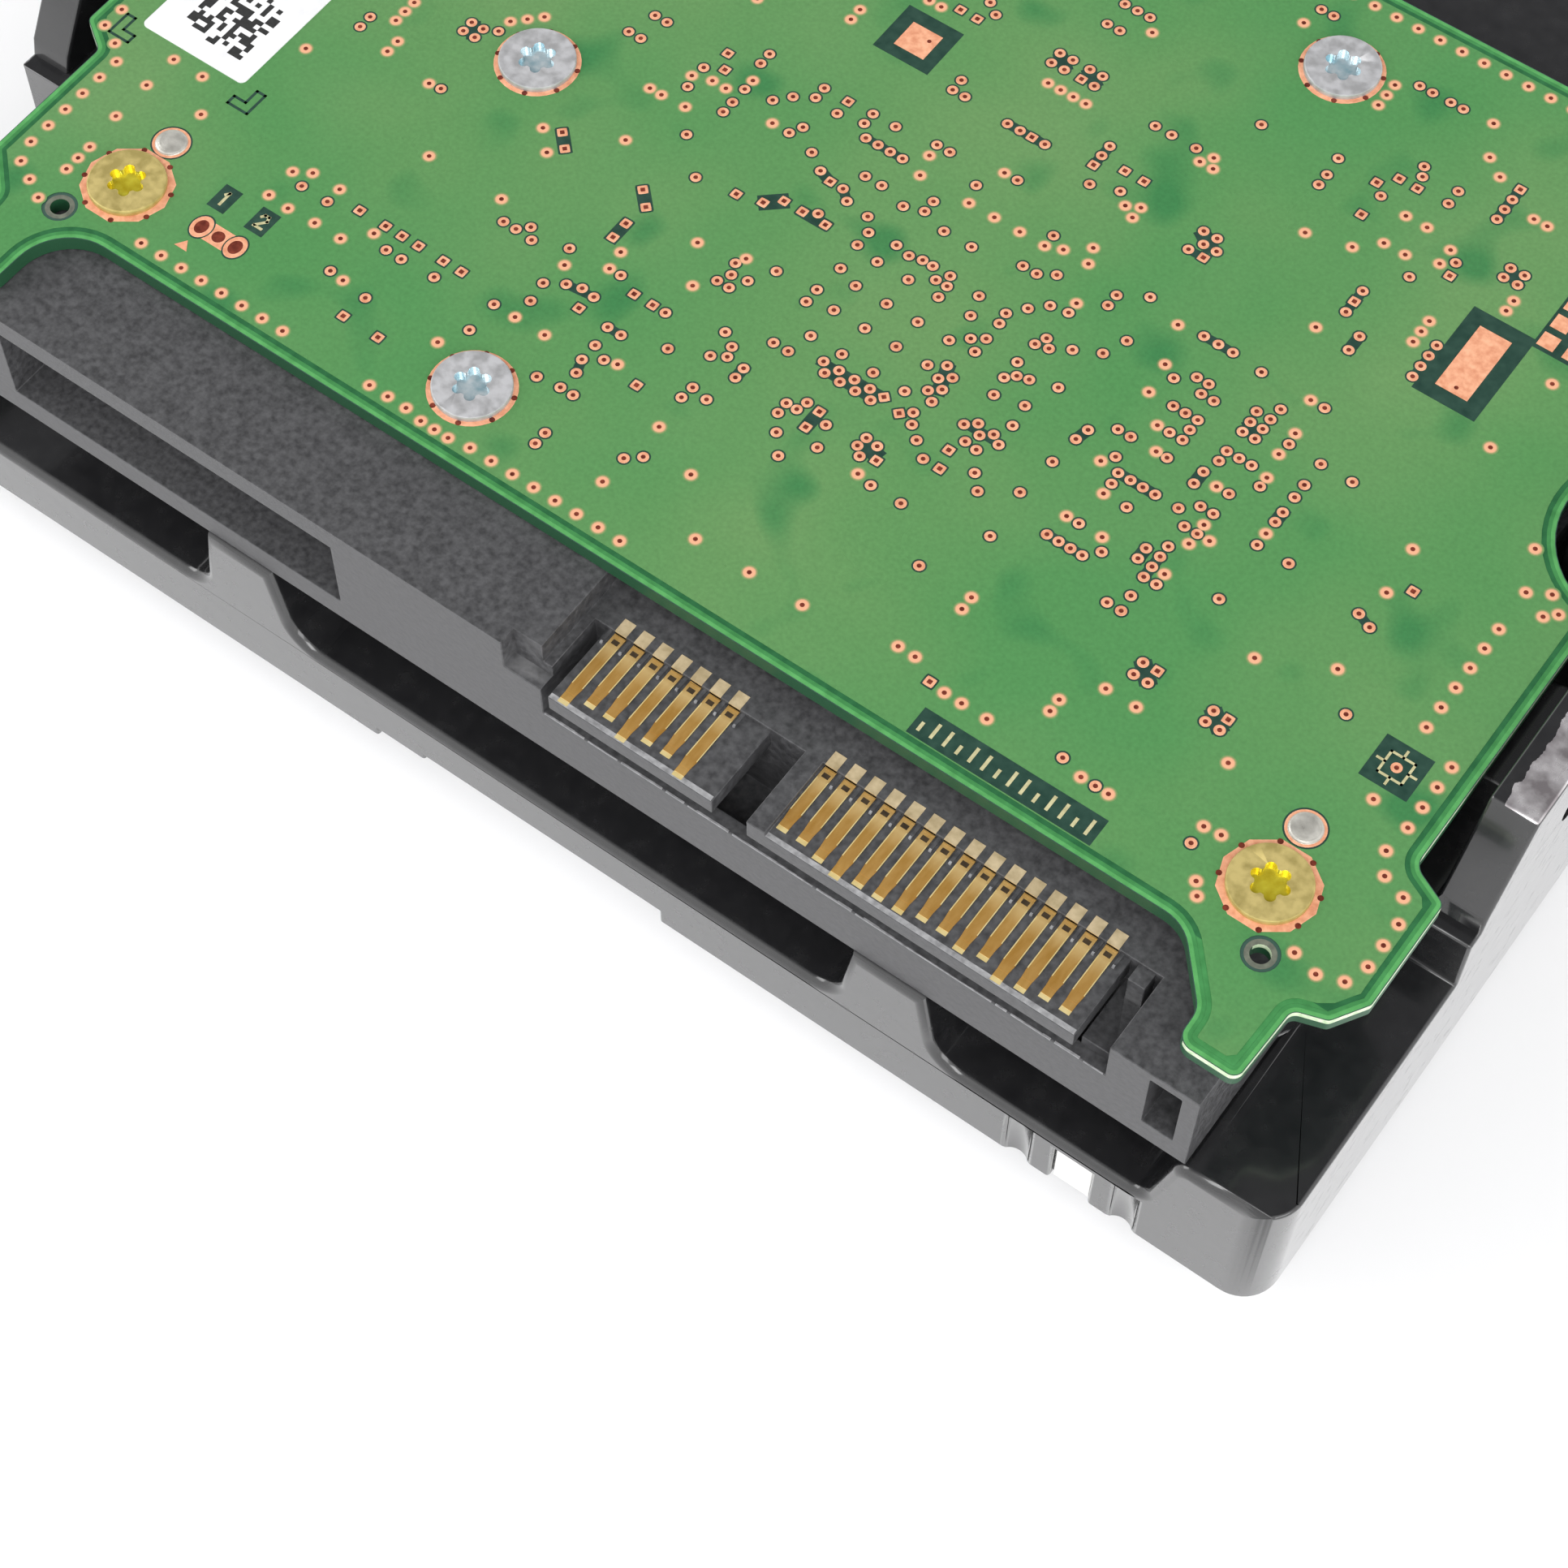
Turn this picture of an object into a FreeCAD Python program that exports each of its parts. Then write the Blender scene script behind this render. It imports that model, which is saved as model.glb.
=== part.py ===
import FreeCAD, Part
import math
import os

# A 3.5-inch hard disk drive lying on its cover, circuit board upwards.
# Millimetres. Origin: middle of the drive's outline, on the face it rests on.
# +Z up (towards the board), connector at -Y, width along X.

# ---- overall sizes of the drive ----
drive_width = 101.6
drive_length = 147.0
drive_height = 26.1

# ---- mounting holes, measured from the connector end and the board-side rails ----
side_hole_from_front = 28.5
side_hole_span = 101.6
side_hole_depth_from_rail = 6.35
bottom_hole_from_front = 41.28
bottom_hole_step_near = 44.45
bottom_hole_step_far = 76.2
bottom_hole_from_side = 3.18
bottom_boss_radius = 4.9
side_boss_depth = 6.6
tapped_hole_radius = 1.42
tapped_hole_depth = 5.6

# ---- base casting ----
rim_height = 3.7
bay_ceiling = 17.0
skin_height = 19.4
front_floor_height = 8.8
ledge_height = 15.0
ledge_inner_x = 44.3
front_step_depth = 13.7
front_edge_round = 0.6
bay_front_wall = 2.4
rail_inner_x = 47.9
rail_start = 17.6
rail_full_height_start = 22.2
rail_foot_height = 20.6
rail_foot_start = 18.9
disk_well_gap = 0.8
bay_half_width = 45.8
casting_corner_radius = 2.3

# ---- cover ----
sheet = 0.8
flange_inset = 1.0
plateau_inset = 4.3
gasket_height = 0.6
gasket_width = 1.2

# ---- circuit board ----
board_thickness = 1.0
board_below_rail = 0.95
board_screw_head_radius = 2.3
board_screw_head_height = 0.45
board_screw_recess_depth = 0.36
board_screw_recess_radius = 1.15
board_screw_shank_radius = 1.25
screw_gap = 0.1
standoff_radius = 3.2

# ---- connector ----
contact_pitch = 1.27
contact_width = 0.75
contact_thickness = 0.25
contact_drop_from_rail = 3.9
first_contact_x = 4.5
contact_root_from_front = 5.0
housing_from_front = 0.4
housing_depth = 12.6
housing_right_x = 44.7
housing_left_x = -39.5
tall_block_right_x = 2.2
tall_block_clearance = 0.1
low_block_above_contacts = 0.3
tongue_thickness = 1.23
mouth_end_gap = 1.9

# ---- disks, hub and motor ----
spindle_from_rear = 50.8
disk_radius = 47.5
disk_bore_radius = 12.5
disk_thickness = 1.27
lower_disk_z = 5.0
upper_disk_z = 9.3
shaft_radius = 2.0
running_gap = 0.05

# ---- head actuator ----
pivot_x = 20.0
pivot_y = -31.5
pivot_shaft_radius = 3.0
arm_hub_radius = 9.0
head_radius = 52.0
parked_angle = 164.3
head_gap = 0.15
slider_thickness = 0.5
suspension_thickness = 0.15
coil_half_angle = 21.0
arm_swing = 34.0

half_w = drive_width / 2
half_l = drive_length / 2
front = -half_l
rail_z = drive_height
board_top = rail_z - board_below_rail
board_bottom = board_top - board_thickness
contact_z = rail_z - contact_drop_from_rail
contact_root_y = front + contact_root_from_front
spindle_y = half_l - spindle_from_rear
well_radius = disk_radius + disk_well_gap
step_y = front + front_step_depth
bay_front_y = step_y + bay_front_wall
side_hole_z = rail_z - side_hole_depth_from_rail
V = FreeCAD.Vector


def box(x0, x1, y0, y1, z0, z1):
    return Part.makeBox(x1 - x0, y1 - y0, z1 - z0, V(x0, y0, z0))


def rod(x, y, z0, z1, r):
    return Part.makeCylinder(r, z1 - z0, V(x, y, z0))


def ring(x, y, z0, z1, r_in, r_out):
    return rod(x, y, z0, z1, r_out).cut(rod(x, y, z0 - 1, z1 + 1, r_in))


def rounded_wire(points):
    """Closed wire through (x, y, radius) corners; radius 0 leaves a corner sharp."""
    n = len(points)
    ends = []
    for i in range(n):
        x, y, r = points[i]
        p = V(x, y, 0)
        a = V(points[i - 1][0], points[i - 1][1], 0).sub(p)
        b = V(points[(i + 1) % n][0], points[(i + 1) % n][1], 0).sub(p)
        a.normalize()
        b.normalize()
        if r <= 0:
            ends.append((p, p, p))
            continue
        half = a.getAngle(b) / 2
        back = r / math.tan(half)
        bis = a.add(b)
        bis.normalize()
        centre = p.add(bis * (r / math.sin(half)))
        mid = centre.sub(bis * r)
        ends.append((p.add(a * back), mid, p.add(b * back)))
    edges = []
    for i in range(n):
        start, mid, end = ends[i]
        if start.distanceToPoint(end) > 1e-6:
            edges.append(Part.Arc(start, mid, end).toShape())
        nxt = ends[(i + 1) % n][0]
        if end.distanceToPoint(nxt) > 1e-6:
            edges.append(Part.LineSegment(end, nxt).toShape())
    return Part.Wire(edges)


def prism(points, z0, z1):
    face = Part.Face(rounded_wire(points))
    face.translate(V(0, 0, z0))
    return face.extrude(V(0, 0, z1 - z0))


def slab(x0, x1, y0, y1, z0, z1, r):
    return prism([(x0, y0, r), (x1, y0, r), (x1, y1, r), (x0, y1, r)], z0, z1)


def lathe(x, y, profile):
    """Solid of revolution about a vertical axis from (radius, height) corners."""
    pts = [V(r, 0, z) for r, z in profile]
    face = Part.Face(Part.makePolygon(pts + [pts[0]]))
    solid = face.revolve(V(0, 0, 0), V(0, 0, 1), 360)
    solid.translate(V(x, y, 0))
    return solid


def sector(x, y, z0, z1, r0, r1, a0, a1):
    """Ring sector between two radii and two angles in degrees."""
    def at(r, a):
        t = math.radians(a)
        return V(x + r * math.cos(t), y + r * math.sin(t), z0)
    mid = (a0 + a1) / 2
    edges = [
        Part.LineSegment(at(r0, a0), at(r1, a0)).toShape(),
        Part.Arc(at(r1, a0), at(r1, mid), at(r1, a1)).toShape(),
        Part.LineSegment(at(r1, a1), at(r0, a1)).toShape(),
        Part.Arc(at(r0, a1), at(r0, mid), at(r0, a0)).toShape(),
    ]
    return Part.Face(Part.Wire(edges)).extrude(V(0, 0, z1 - z0))


def polar(r, a, x=0.0, y=0.0):
    t = math.radians(a)
    return (x + r * math.cos(t), y + r * math.sin(t))


def joined(shapes):
    body = shapes[0]
    for s in shapes[1:]:
        body = body.fuse(s)
    return body.removeSplitter()


def group(shapes):
    return Part.makeCompound(shapes)


def six_lobe_recess(x, y, z0, z1, r):
    """Star-shaped driver recess between two heights: a core with six round lobes."""
    core = rod(x, y, z0, z1, r * 0.72)
    for k in range(6):
        px, py = polar(r * 0.72, 60 * k, x, y)
        core = core.fuse(rod(px, py, z0, z1, r * 0.28))
    return core


def downward_screw(x, y, seat_z, head_height, head_radius, foot_z, shank_radius, recess_depth):
    """Screw driven from below: head under the seat, shank up into the part."""
    head_z = seat_z - head_height
    screw = rod(x, y, head_z, seat_z, head_radius)
    screw = screw.fuse(rod(x, y, seat_z, foot_z, shank_radius)).removeSplitter()
    return screw.cut(six_lobe_recess(x, y, head_z - 1, head_z + recess_depth, head_radius * 0.55))


os.makedirs("parts", exist_ok=True)

# ---- where the screws go ----
board_screw_places = [(-22.2, front + 32.4), (-10.7, front + 11.9), (16.1, front + 59.7)]
connector_screw_places = [(-35.5, front + 11.4), (41.35, front + 11.6)]
cover_screw_places = [(sx * 45.4, sy * 68.1) for sx in (-1, 1) for sy in (-1, 1)]
cover_screw_places += [(-46.2, front + 54.5), (46.2, front + 54.5)]
cover_screw_pocket_radius = 3.4
cover_screw_shank_radius = 1.2
cover_screw_foot = rim_height + 5.1
bottom_hole_ys = [front + bottom_hole_from_front,
                  front + bottom_hole_from_front + bottom_hole_step_near,
                  front + bottom_hole_from_front + bottom_hole_step_far]
side_hole_ys = [front + side_hole_from_front, front + side_hole_from_front + side_hole_span]

# ---- base casting: one die-cast shell, front profile drawn in the X-Z plane ----
saddle_centres = (-19.5, 26.0)
saddle_half_width = 2.4
profile = [(-half_w, rim_height, 0), (half_w, rim_height, 0), (half_w, ledge_height, 0),
           (ledge_inner_x, ledge_height, 1.3), (ledge_inner_x - 1.4, front_floor_height, 1.3)]
for cx in (saddle_centres[1], saddle_centres[0]):
    profile += [(cx + saddle_half_width + 1.0, front_floor_height, 2.2),
                (cx + saddle_half_width, ledge_height, 0),
                (cx - saddle_half_width, ledge_height, 0),
                (cx - saddle_half_width - 1.0, front_floor_height, 2.2)]
profile += [(-ledge_inner_x + 1.4, front_floor_height, 1.3), (-ledge_inner_x, ledge_height, 1.3),
            (-half_w, ledge_height, 0)]
front_face = Part.Face(rounded_wire(profile))
front_face.rotate(V(0, 0, 0), V(1, 0, 0), 90)
front_face.translate(V(0, front, 0))
front_block = front_face.extrude(V(0, front_step_depth + 2, 0))
front_edges = [e for e in front_block.Edges
               if e.BoundBox.YMax < front + 0.01 and e.BoundBox.ZMin > rim_height + 0.1
               and e.BoundBox.XMax - e.BoundBox.XMin > 0.01
               and abs(e.BoundBox.Center.x) < ledge_inner_x]
front_block = front_block.makeFillet(front_edge_round, front_edges)
outline = slab(-half_w, half_w, front, half_l, rim_height, rail_z, casting_corner_radius)

# the skin over the sealed bay, the rails with their sloped front feet
main_skin = box(-half_w, half_w, step_y, half_l, rim_height, skin_height)
side_profile = [V(0, front + rail_start, ledge_height - 2), V(0, front + rail_start, ledge_height),
                V(0, front + rail_foot_start, rail_foot_height),
                V(0, front + rail_full_height_start, rail_z), V(0, half_l, rail_z),
                V(0, half_l, ledge_height - 2)]
rail_face = Part.Face(Part.makePolygon(side_profile + [side_profile[0]]))
rails = []
for sx in (-1, 1):
    rail = rail_face.extrude(V(half_w - rail_inner_x, 0, 0))
    rail.translate(V(rail_inner_x if sx > 0 else -half_w, 0, 0))
    rails.append(rail)
main_skin = main_skin.cut(box(-half_w - 1, -ledge_inner_x, front, front + rail_start,
                              ledge_height, rail_z))
main_skin = main_skin.cut(box(ledge_inner_x, half_w + 1, front, front + rail_start,
                              ledge_height, rail_z))
rear_wall = box(-half_w, half_w, half_l - 3.0, half_l, skin_height - 1, rail_z - 1.6)
rear_deck = box(-half_w, half_w, front + 68.5, half_l, skin_height - 1, skin_height + 1.6)
pieces = [front_block, main_skin] + rails + [rear_wall, rear_deck]

# bosses: bottom mounting holes, side mounting holes, board standoffs, motor ring
for y in bottom_hole_ys:
    for sx in (-1, 1):
        pieces.append(rod(sx * (half_w - bottom_hole_from_side), y, skin_height - 1, rail_z,
                          bottom_boss_radius))
for y in side_hole_ys:
    for x0, x1 in ((-half_w, -half_w + side_boss_depth), (half_w - side_boss_depth, half_w)):
        pieces.append(box(x0, x1, y - 3.6, y + 3.6, skin_height - 1, side_hole_z + 3.2))
for x, y in board_screw_places:
    if y > step_y + 1:
        pieces.append(rod(x, y, skin_height - 1, board_bottom, standoff_radius))
for x, y in connector_screw_places:
    pieces.append(rod(x, y, front_floor_height - 1, ledge_height, 4.0))
pieces.append(rod(board_screw_places[1][0], board_screw_places[1][1], front_floor_height - 1,
                  ledge_height, 4.0))
pieces.append(ring(0, spindle_y, skin_height, skin_height + 3.4, 15.2, 17.4))
pieces.append(rod(0, spindle_y, skin_height, skin_height + 2.4, 6.0))
for k in range(3):
    spoke = box(5.5, 15.6, -0.9, 0.9, skin_height, skin_height + 2.3)
    spoke.rotate(V(0, 0, 0), V(0, 0, 1), 120 * k + 30)
    spoke.translate(V(0, spindle_y, 0))
    pieces.append(spoke)
base = joined(pieces).common(outline)

# the sealed bay: a round well for the disks and a wider room for the actuator
bay = rod(0, spindle_y, rim_height - 1, bay_ceiling, well_radius)
room = slab(-bay_half_width, bay_half_width, bay_front_y, front + 84.0,
            rim_height - 1, bay_ceiling, 3.0)
bay = bay.fuse(room).removeSplitter()
for x, y in cover_screw_places[4:]:
    bay = bay.cut(rod(x, y, 0, rail_z, 3.3))
base = base.cut(bay)

# motor post and actuator boss grow down from the bay's ceiling
motor_post = lathe(0, spindle_y, [(5.2, bay_ceiling - 4.6), (6.5, bay_ceiling - 4.6),
                                  (6.5, bay_ceiling + 0.5), (5.2, bay_ceiling + 0.5)])
base = base.fuse(motor_post)
base = base.cut(rod(0, spindle_y, 0, skin_height + 1.4, shaft_radius))
base = base.cut(rod(pivot_x, pivot_y, 0, skin_height - 1.0, pivot_shaft_radius))

# tapped holes
for y in bottom_hole_ys:
    for sx in (-1, 1):
        x = sx * (half_w - bottom_hole_from_side)
        base = base.cut(rod(x, y, rail_z - tapped_hole_depth, rail_z + 1, tapped_hole_radius))
for y in side_hole_ys:
    for sx in (-1, 1):
        bit = Part.makeCylinder(tapped_hole_radius, 4.2 + 1, V(sx * (half_w + 1), y, side_hole_z),
                                V(-sx, 0, 0))
        base = base.cut(bit)
for x, y in board_screw_places:
    low = 11.0 if y < step_y + 1 else 18.2
    base = base.cut(rod(x, y, low, rail_z, board_screw_shank_radius + screw_gap))
for x, y in connector_screw_places:
    base = base.cut(rod(x, y, 10.6, rail_z, board_screw_shank_radius + screw_gap))
for x, y in cover_screw_places:
    base = base.cut(rod(x, y, 0, cover_screw_foot + 0.4, cover_screw_shank_radius + screw_gap))

# slot for the head connector, shallow relief at the front rim, pocket for the seal
head_slot = (-20.5, -7.5, -52.5, -45.5)
base = base.cut(box(*head_slot, bay_ceiling - 1, rail_z))
relief_right, relief_mid, relief_left = 10.4, -6.8, -10.4
base = base.cut(box(relief_mid, relief_right, front - 1, front + flange_inset, 0, rim_height + 1.3))
base = base.cut(box(relief_left, relief_mid, front - 1, front + flange_inset, 0, rim_height + 0.8))
seal_x0, seal_x1, seal_depth = 37.35, 39.85, 0.5
base = base.cut(box(seal_x0, seal_x1, front - 1, front + seal_depth, 0, front_floor_height - 1.1))
for cx in (seal_x0 - 2.2, seal_x1 + 2.2):
    base = base.cut(rod(cx, front - 0.55, 0, front_floor_height - 0.7, 1.0))

# gasket groove in the rim
groove_outer = slab(-half_w + 1.7, half_w - 1.7, front + 1.7, half_l - 1.2,
                    rim_height, rim_height + gasket_height, 2.0)
groove_inner = slab(-half_w + 1.7 + gasket_width, half_w - 1.7 - gasket_width,
                    front + 1.7 + gasket_width, half_l - 1.2 - gasket_width,
                    rim_height - 1, rim_height + 1 + gasket_height, 1.2)
gasket = groove_outer.cut(groove_inner)
base = base.cut(gasket)
base.exportStep("parts/base_casting.step")
gasket.exportStep("parts/cover_gasket.step")

# ---- cover: drawn steel sheet, flange against the rim, plateau down to the rest face ----
flange = slab(-half_w + flange_inset, half_w - flange_inset, front + flange_inset,
              half_l - flange_inset, rim_height - sheet, rim_height, 2.0)
plate_x, plate_y0, plate_y1 = half_w - plateau_inset, front + plateau_inset, half_l - plateau_inset
plateau = slab(-plate_x, plate_x, plate_y0, plate_y1, 0, rim_height, 5.0)
hollow = slab(-plate_x + sheet, plate_x - sheet, plate_y0 + sheet, plate_y1 - sheet,
              sheet, rim_height + 1, 4.2)
for x, y in cover_screw_places:
    plateau = plateau.cut(rod(x, y, -1, rim_height - sheet, cover_screw_pocket_radius))
    hollow = hollow.cut(rod(x, y, 0, rim_height + 1, cover_screw_pocket_radius + sheet))
cover = flange.fuse(plateau).removeSplitter().cut(hollow)
for x, y in cover_screw_places:
    cover = cover.cut(rod(x, y, 0, rim_height + 1, cover_screw_shank_radius + screw_gap))
label_recess = slab(-38.0, 38.0, -58.0, 30.0, -1, 0.12, 2.0)
cover = cover.cut(label_recess)
cover.exportStep("parts/top_cover.step")
cover_label = slab(-37.8, 37.8, -57.8, 29.8, 0.02, 0.12, 1.8)
cover_label.exportStep("parts/cover_label.step")

screws = []
for x, y in cover_screw_places:
    screws.append(downward_screw(x, y, rim_height - sheet, 1.1, 2.2, cover_screw_foot,
                                 cover_screw_shank_radius, 0.6))
group(screws).exportStep("parts/cover_screws.step")

# ---- circuit board ----
pcb = [(-37.0 + 3.8, front + 7.25, 0), (39.0, front + 7.25, 2.6), (42.15, front + 3.6, 1.5),
       (42.2, front + 1.5, 0.9), (45.8, front + 1.5, 0.6), (46.0, front + 6.3, 0.6),
       (47.8, front + 6.9, 0.5), (49.05, front + 8.9, 0.4), (49.05, front + 15.9, 0.5),
       (46.78, front + 17.0, 1.0), (46.78, front + 66.4, 0.8), (-45.66, front + 66.4, 0.8),
       (-45.66, front + 19.4, 0.6), (-43.6, front + 18.0, 0.6), (-43.6, front + 8.9, 0.6),
       (-41.2, front + 6.6, 0.8), (-40.7, front + 1.5, 0.6), (-37.1, front + 1.5, 0.9),
       (-37.0, front + 7.25, 3.4)]
board = prism(pcb, board_bottom, board_top)
bottom_hole_clear = 5.75
board = board.cut(rod(half_w - bottom_hole_from_side, bottom_hole_ys[0], 20, 30, bottom_hole_clear))
board = board.cut(rod(-half_w + bottom_hole_from_side, bottom_hole_ys[0], 20, 30,
                      bottom_hole_clear))
for x, y in board_screw_places + connector_screw_places:
    board = board.cut(rod(x, y, 20, 30, board_screw_shank_radius + screw_gap))
tooling_holes = [(-37.6, front + 7.95), (43.05, front + 8.05)]
for x, y in tooling_holes:
    board = board.cut(rod(x, y, 20, 30, 0.57))
board.exportStep("parts/circuit_board.step")

# ---- screws that hold the board and the connector ----
def board_screw(x, y, foot):
    screw = rod(x, y, board_top, board_top + board_screw_head_height, board_screw_head_radius)
    screw = screw.fuse(rod(x, y, foot, board_top, board_screw_shank_radius)).removeSplitter()
    head_z = board_top + board_screw_head_height
    return screw.cut(six_lobe_recess(x, y, head_z - board_screw_recess_depth, head_z + 1,
                                     board_screw_recess_radius))


silver = []
for x, y in board_screw_places:
    silver.append(board_screw(x, y, 11.6 if y < step_y + 1 else 18.8))
group(silver).exportStep("parts/board_screws.step")
gold = [board_screw(x, y, 11.2) for x, y in connector_screw_places]
group(gold).exportStep("parts/connector_screws.step")

# ---- connector housing ----
hy0 = front + housing_from_front
hy1 = hy0 + housing_depth
low_top = contact_z + low_block_above_contacts
tall_top = board_bottom - tall_block_clearance
housing = box(housing_left_x, housing_right_x, hy0, hy1, ledge_height, low_top)
housing = housing.fuse(box(housing_left_x, tall_block_right_x, hy0, hy1, low_top - 1, tall_top))
for x, y in connector_screw_places + [board_screw_places[1]]:
    housing = housing.fuse(rod(x, y, ledge_height, board_bottom, standoff_radius))
housing = housing.removeSplitter()
jumper_x0, jumper_x1 = -36.2, -11.8
jumper_z0, jumper_z1 = contact_z - 5.3, contact_z + 0.2
housing = housing.cut(box(jumper_x0, jumper_x1, hy0 - 1, hy0 + 6.5, jumper_z0, jumper_z1))
signal_tongue = (first_contact_x - 0.9, first_contact_x + 6 * contact_pitch + 2.4)
power_start = first_contact_x + 6 * contact_pitch + 6.35
power_tongue = (power_start - 1.7, power_start + 14 * contact_pitch + 1.15)
mouth_x0, mouth_x1 = tall_block_right_x + 0.6, power_tongue[1] + mouth_end_gap
mouth_back = contact_root_y + 0.3
lip_depth, lip_top = 0.9, contact_z - 3.0
gap_floor_z = contact_z - 2.2
housing = housing.cut(box(mouth_x0, mouth_x1, hy0 + lip_depth, mouth_back, contact_z - 6.2,
                          board_top))
housing = housing.cut(box(mouth_x0, mouth_x1, hy0 - 1, hy0 + lip_depth + 0.1, lip_top, board_top))
housing = housing.cut(box(41.8, 43.7, hy0 - 1, hy0 + 5.0, contact_z - 5.4, contact_z - 0.4))
housing = housing.cut(box(tall_block_right_x - 1.9, tall_block_right_x + 1.0, hy0 - 1, hy0 + 1.1,
                          contact_z - 0.6, board_top))
tongue_front = front + 0.05
for x0, x1 in (signal_tongue, power_tongue):
    housing = housing.fuse(box(x0, x1, tongue_front, mouth_back + 0.2,
                               contact_z - tongue_thickness, contact_z))
housing = housing.fuse(box(power_tongue[0], power_tongue[0] + 1.2, tongue_front, mouth_back + 0.2,
                           contact_z - tongue_thickness, contact_z + 0.3))
# a square peg and a sunken floor fill the gap beside the power tongue
peg_x0, peg_x1 = power_tongue[1] + 0.45, power_tongue[1] + 1.5
housing = housing.fuse(box(peg_x0, peg_x1, contact_root_y - 0.75, contact_root_y + 0.35,
                           gap_floor_z - 0.1, contact_z + 0.1))
housing = housing.fuse(box(power_tongue[1] - 0.1, mouth_x1 + 0.1, hy0 + lip_depth - 0.1,
                           mouth_back + 0.1, contact_z - 6.3, gap_floor_z))
housing = housing.removeSplitter()


def contact(x, tip):
    tail = contact_root_y + 0.9
    return box(x - contact_width / 2, x + contact_width / 2, front + tip, tail,
               contact_z + 0.05 - contact_thickness, contact_z + 0.05)


short_tip, middle_tip, long_tip = 0.80, 0.45, 0.15
signal_long = (0, 3, 6)
power_long = (3, 11)
power_middle = (2, 4, 5, 6, 9, 12)
signal = [contact(first_contact_x + i * contact_pitch, long_tip if i in signal_long else short_tip)
          for i in range(7)]
power = []
for i in range(15):
    tip = long_tip if i in power_long else middle_tip if i in power_middle else short_tip
    power.append(contact(power_start + i * contact_pitch, tip))
for c in signal + power:
    b = c.BoundBox
    housing = housing.cut(box(b.XMin, b.XMax, b.YMin, b.YMax, b.ZMin, low_top + 1)
                          if b.YMax < mouth_back else c)
group(signal).exportStep("parts/signal_contacts.step")
group(power).exportStep("parts/power_contacts.step")
for x, y in connector_screw_places + [board_screw_places[1]]:
    housing = housing.cut(rod(x, y, 0, 40, board_screw_shank_radius + screw_gap))
housing = housing.cut(base)
housing.exportStep("parts/connector_housing.step")

# ---- what hangs under the board ----
chip_places = {
    "controller_chip": (-7.0, 9.0, -45.6, -31.0, 1.15),
    "memory_chip": (17.0, 27.0, -49.0, -37.0, 1.0),
    "motor_driver_chip": (-8.0, 2.0, -22.0, -12.0, 1.0),
}
for name, (x0, x1, y0, y1, t) in chip_places.items():
    body = box(x0, x1, y0, y1, board_bottom - t, board_bottom)
    body = body.cut(rod(x0 + 1.4, y1 - 1.4, board_bottom - t - 1, board_bottom - t + 0.12, 0.5))
    body.exportStep("parts/%s.step" % name)
small = []
for row in range(3):
    for k in range(8):
        x, y = -36.0 + 2.4 * k, -26.0 + 5.0 * row
        small.append(box(x, x + 1.0, y, y + 2.0, board_bottom - 0.8, board_bottom))
for k in range(6):
    x = 22.0 + 2.6 * k
    small.append(box(x, x + 1.2, -29.0, -27.0, board_bottom - 0.9, board_bottom))
for k in range(2):
    x = 28.0 + 6.5 * k
    small.append(box(x, x + 5.0, -22.0, -17.0, board_bottom - 2.0, board_bottom))
group(small).exportStep("parts/board_components.step")

foam_top = board_bottom - 2.2
foam_half_width = half_w - bottom_hole_from_side - bottom_boss_radius - 0.7
foam = slab(-foam_half_width, foam_half_width, step_y + 3.0, front + 65.0, skin_height, foam_top, 3.0)
foam = foam.cut(box(head_slot[0] - 1, head_slot[1] + 1, head_slot[2] - 1, head_slot[3] + 1, 0, 40))
for x, y in board_screw_places:
    foam = foam.cut(rod(x, y, 0, 40, standoff_radius + 0.4))

head_plug = box(head_slot[0] + 0.3, head_slot[1] - 0.3, head_slot[2] + 0.3, head_slot[3] - 0.3,
                bay_ceiling - 4.0, board_bottom)
head_plug = head_plug.fuse(box(head_slot[0] - 1.5, head_slot[1] + 1.5, head_slot[2] - 1.5,
                               head_slot[3] + 1.5, bay_ceiling - 1.5, bay_ceiling))
head_plug = head_plug.removeSplitter()
head_plug.exportStep("parts/head_connector.step")

motor_pad = box(-4.0, 4.0, front + 62.0, front + 65.0, skin_height + 0.25, board_bottom)
motor_pad.exportStep("parts/motor_contacts.step")
flex_y0 = front + 61.5
motor_strip = box(-3.0, 3.0, flex_y0, front + 68.5, skin_height, skin_height + 0.25)
foam_gap = box(-5.0, 5.0, front + 60.5, front + 66.0, 0, 40)
foam = foam.cut(foam_gap)
foam.exportStep("parts/foam_pad.step")
motor_strip.exportStep("parts/motor_flex.step")

board_label = slab(-42.8, -35.0, front + 20.9, front + 34.5, board_top, board_top + 0.1, 0.4)
board_label.exportStep("parts/board_label.step")
wall_seal = box(seal_x0 + 0.1, seal_x1 - 0.1, front + seal_depth - 0.12, front + seal_depth,
                rim_height, front_floor_height - 1.2)
wall_seal.exportStep("parts/wall_seal.step")

# ---- spindle motor and disks ----
spindle_shaft = rod(0, spindle_y, 2.4, skin_height + 1.4, shaft_radius)
spindle_shaft.exportStep("parts/spindle_shaft.step")
bore = shaft_radius + running_gap
hub_seat = upper_disk_z + disk_thickness
hub_top = lower_disk_z - 0.6
hub_edge = disk_bore_radius
hub = lathe(0, spindle_y, [
    (bore, hub_top), (hub_edge, hub_top), (hub_edge, hub_seat), (15.5, hub_seat),
    (15.5, bay_ceiling - 1.2), (13.7, bay_ceiling - 1.2), (13.7, hub_seat + 1.4),
    (4.6, hub_seat + 1.4), (4.6, bay_ceiling - 2.6), (bore, bay_ceiling - 2.6)])
clamp_screw_circle = 8.5
clamp_screw_angles = [60 * k for k in range(6)]
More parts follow.
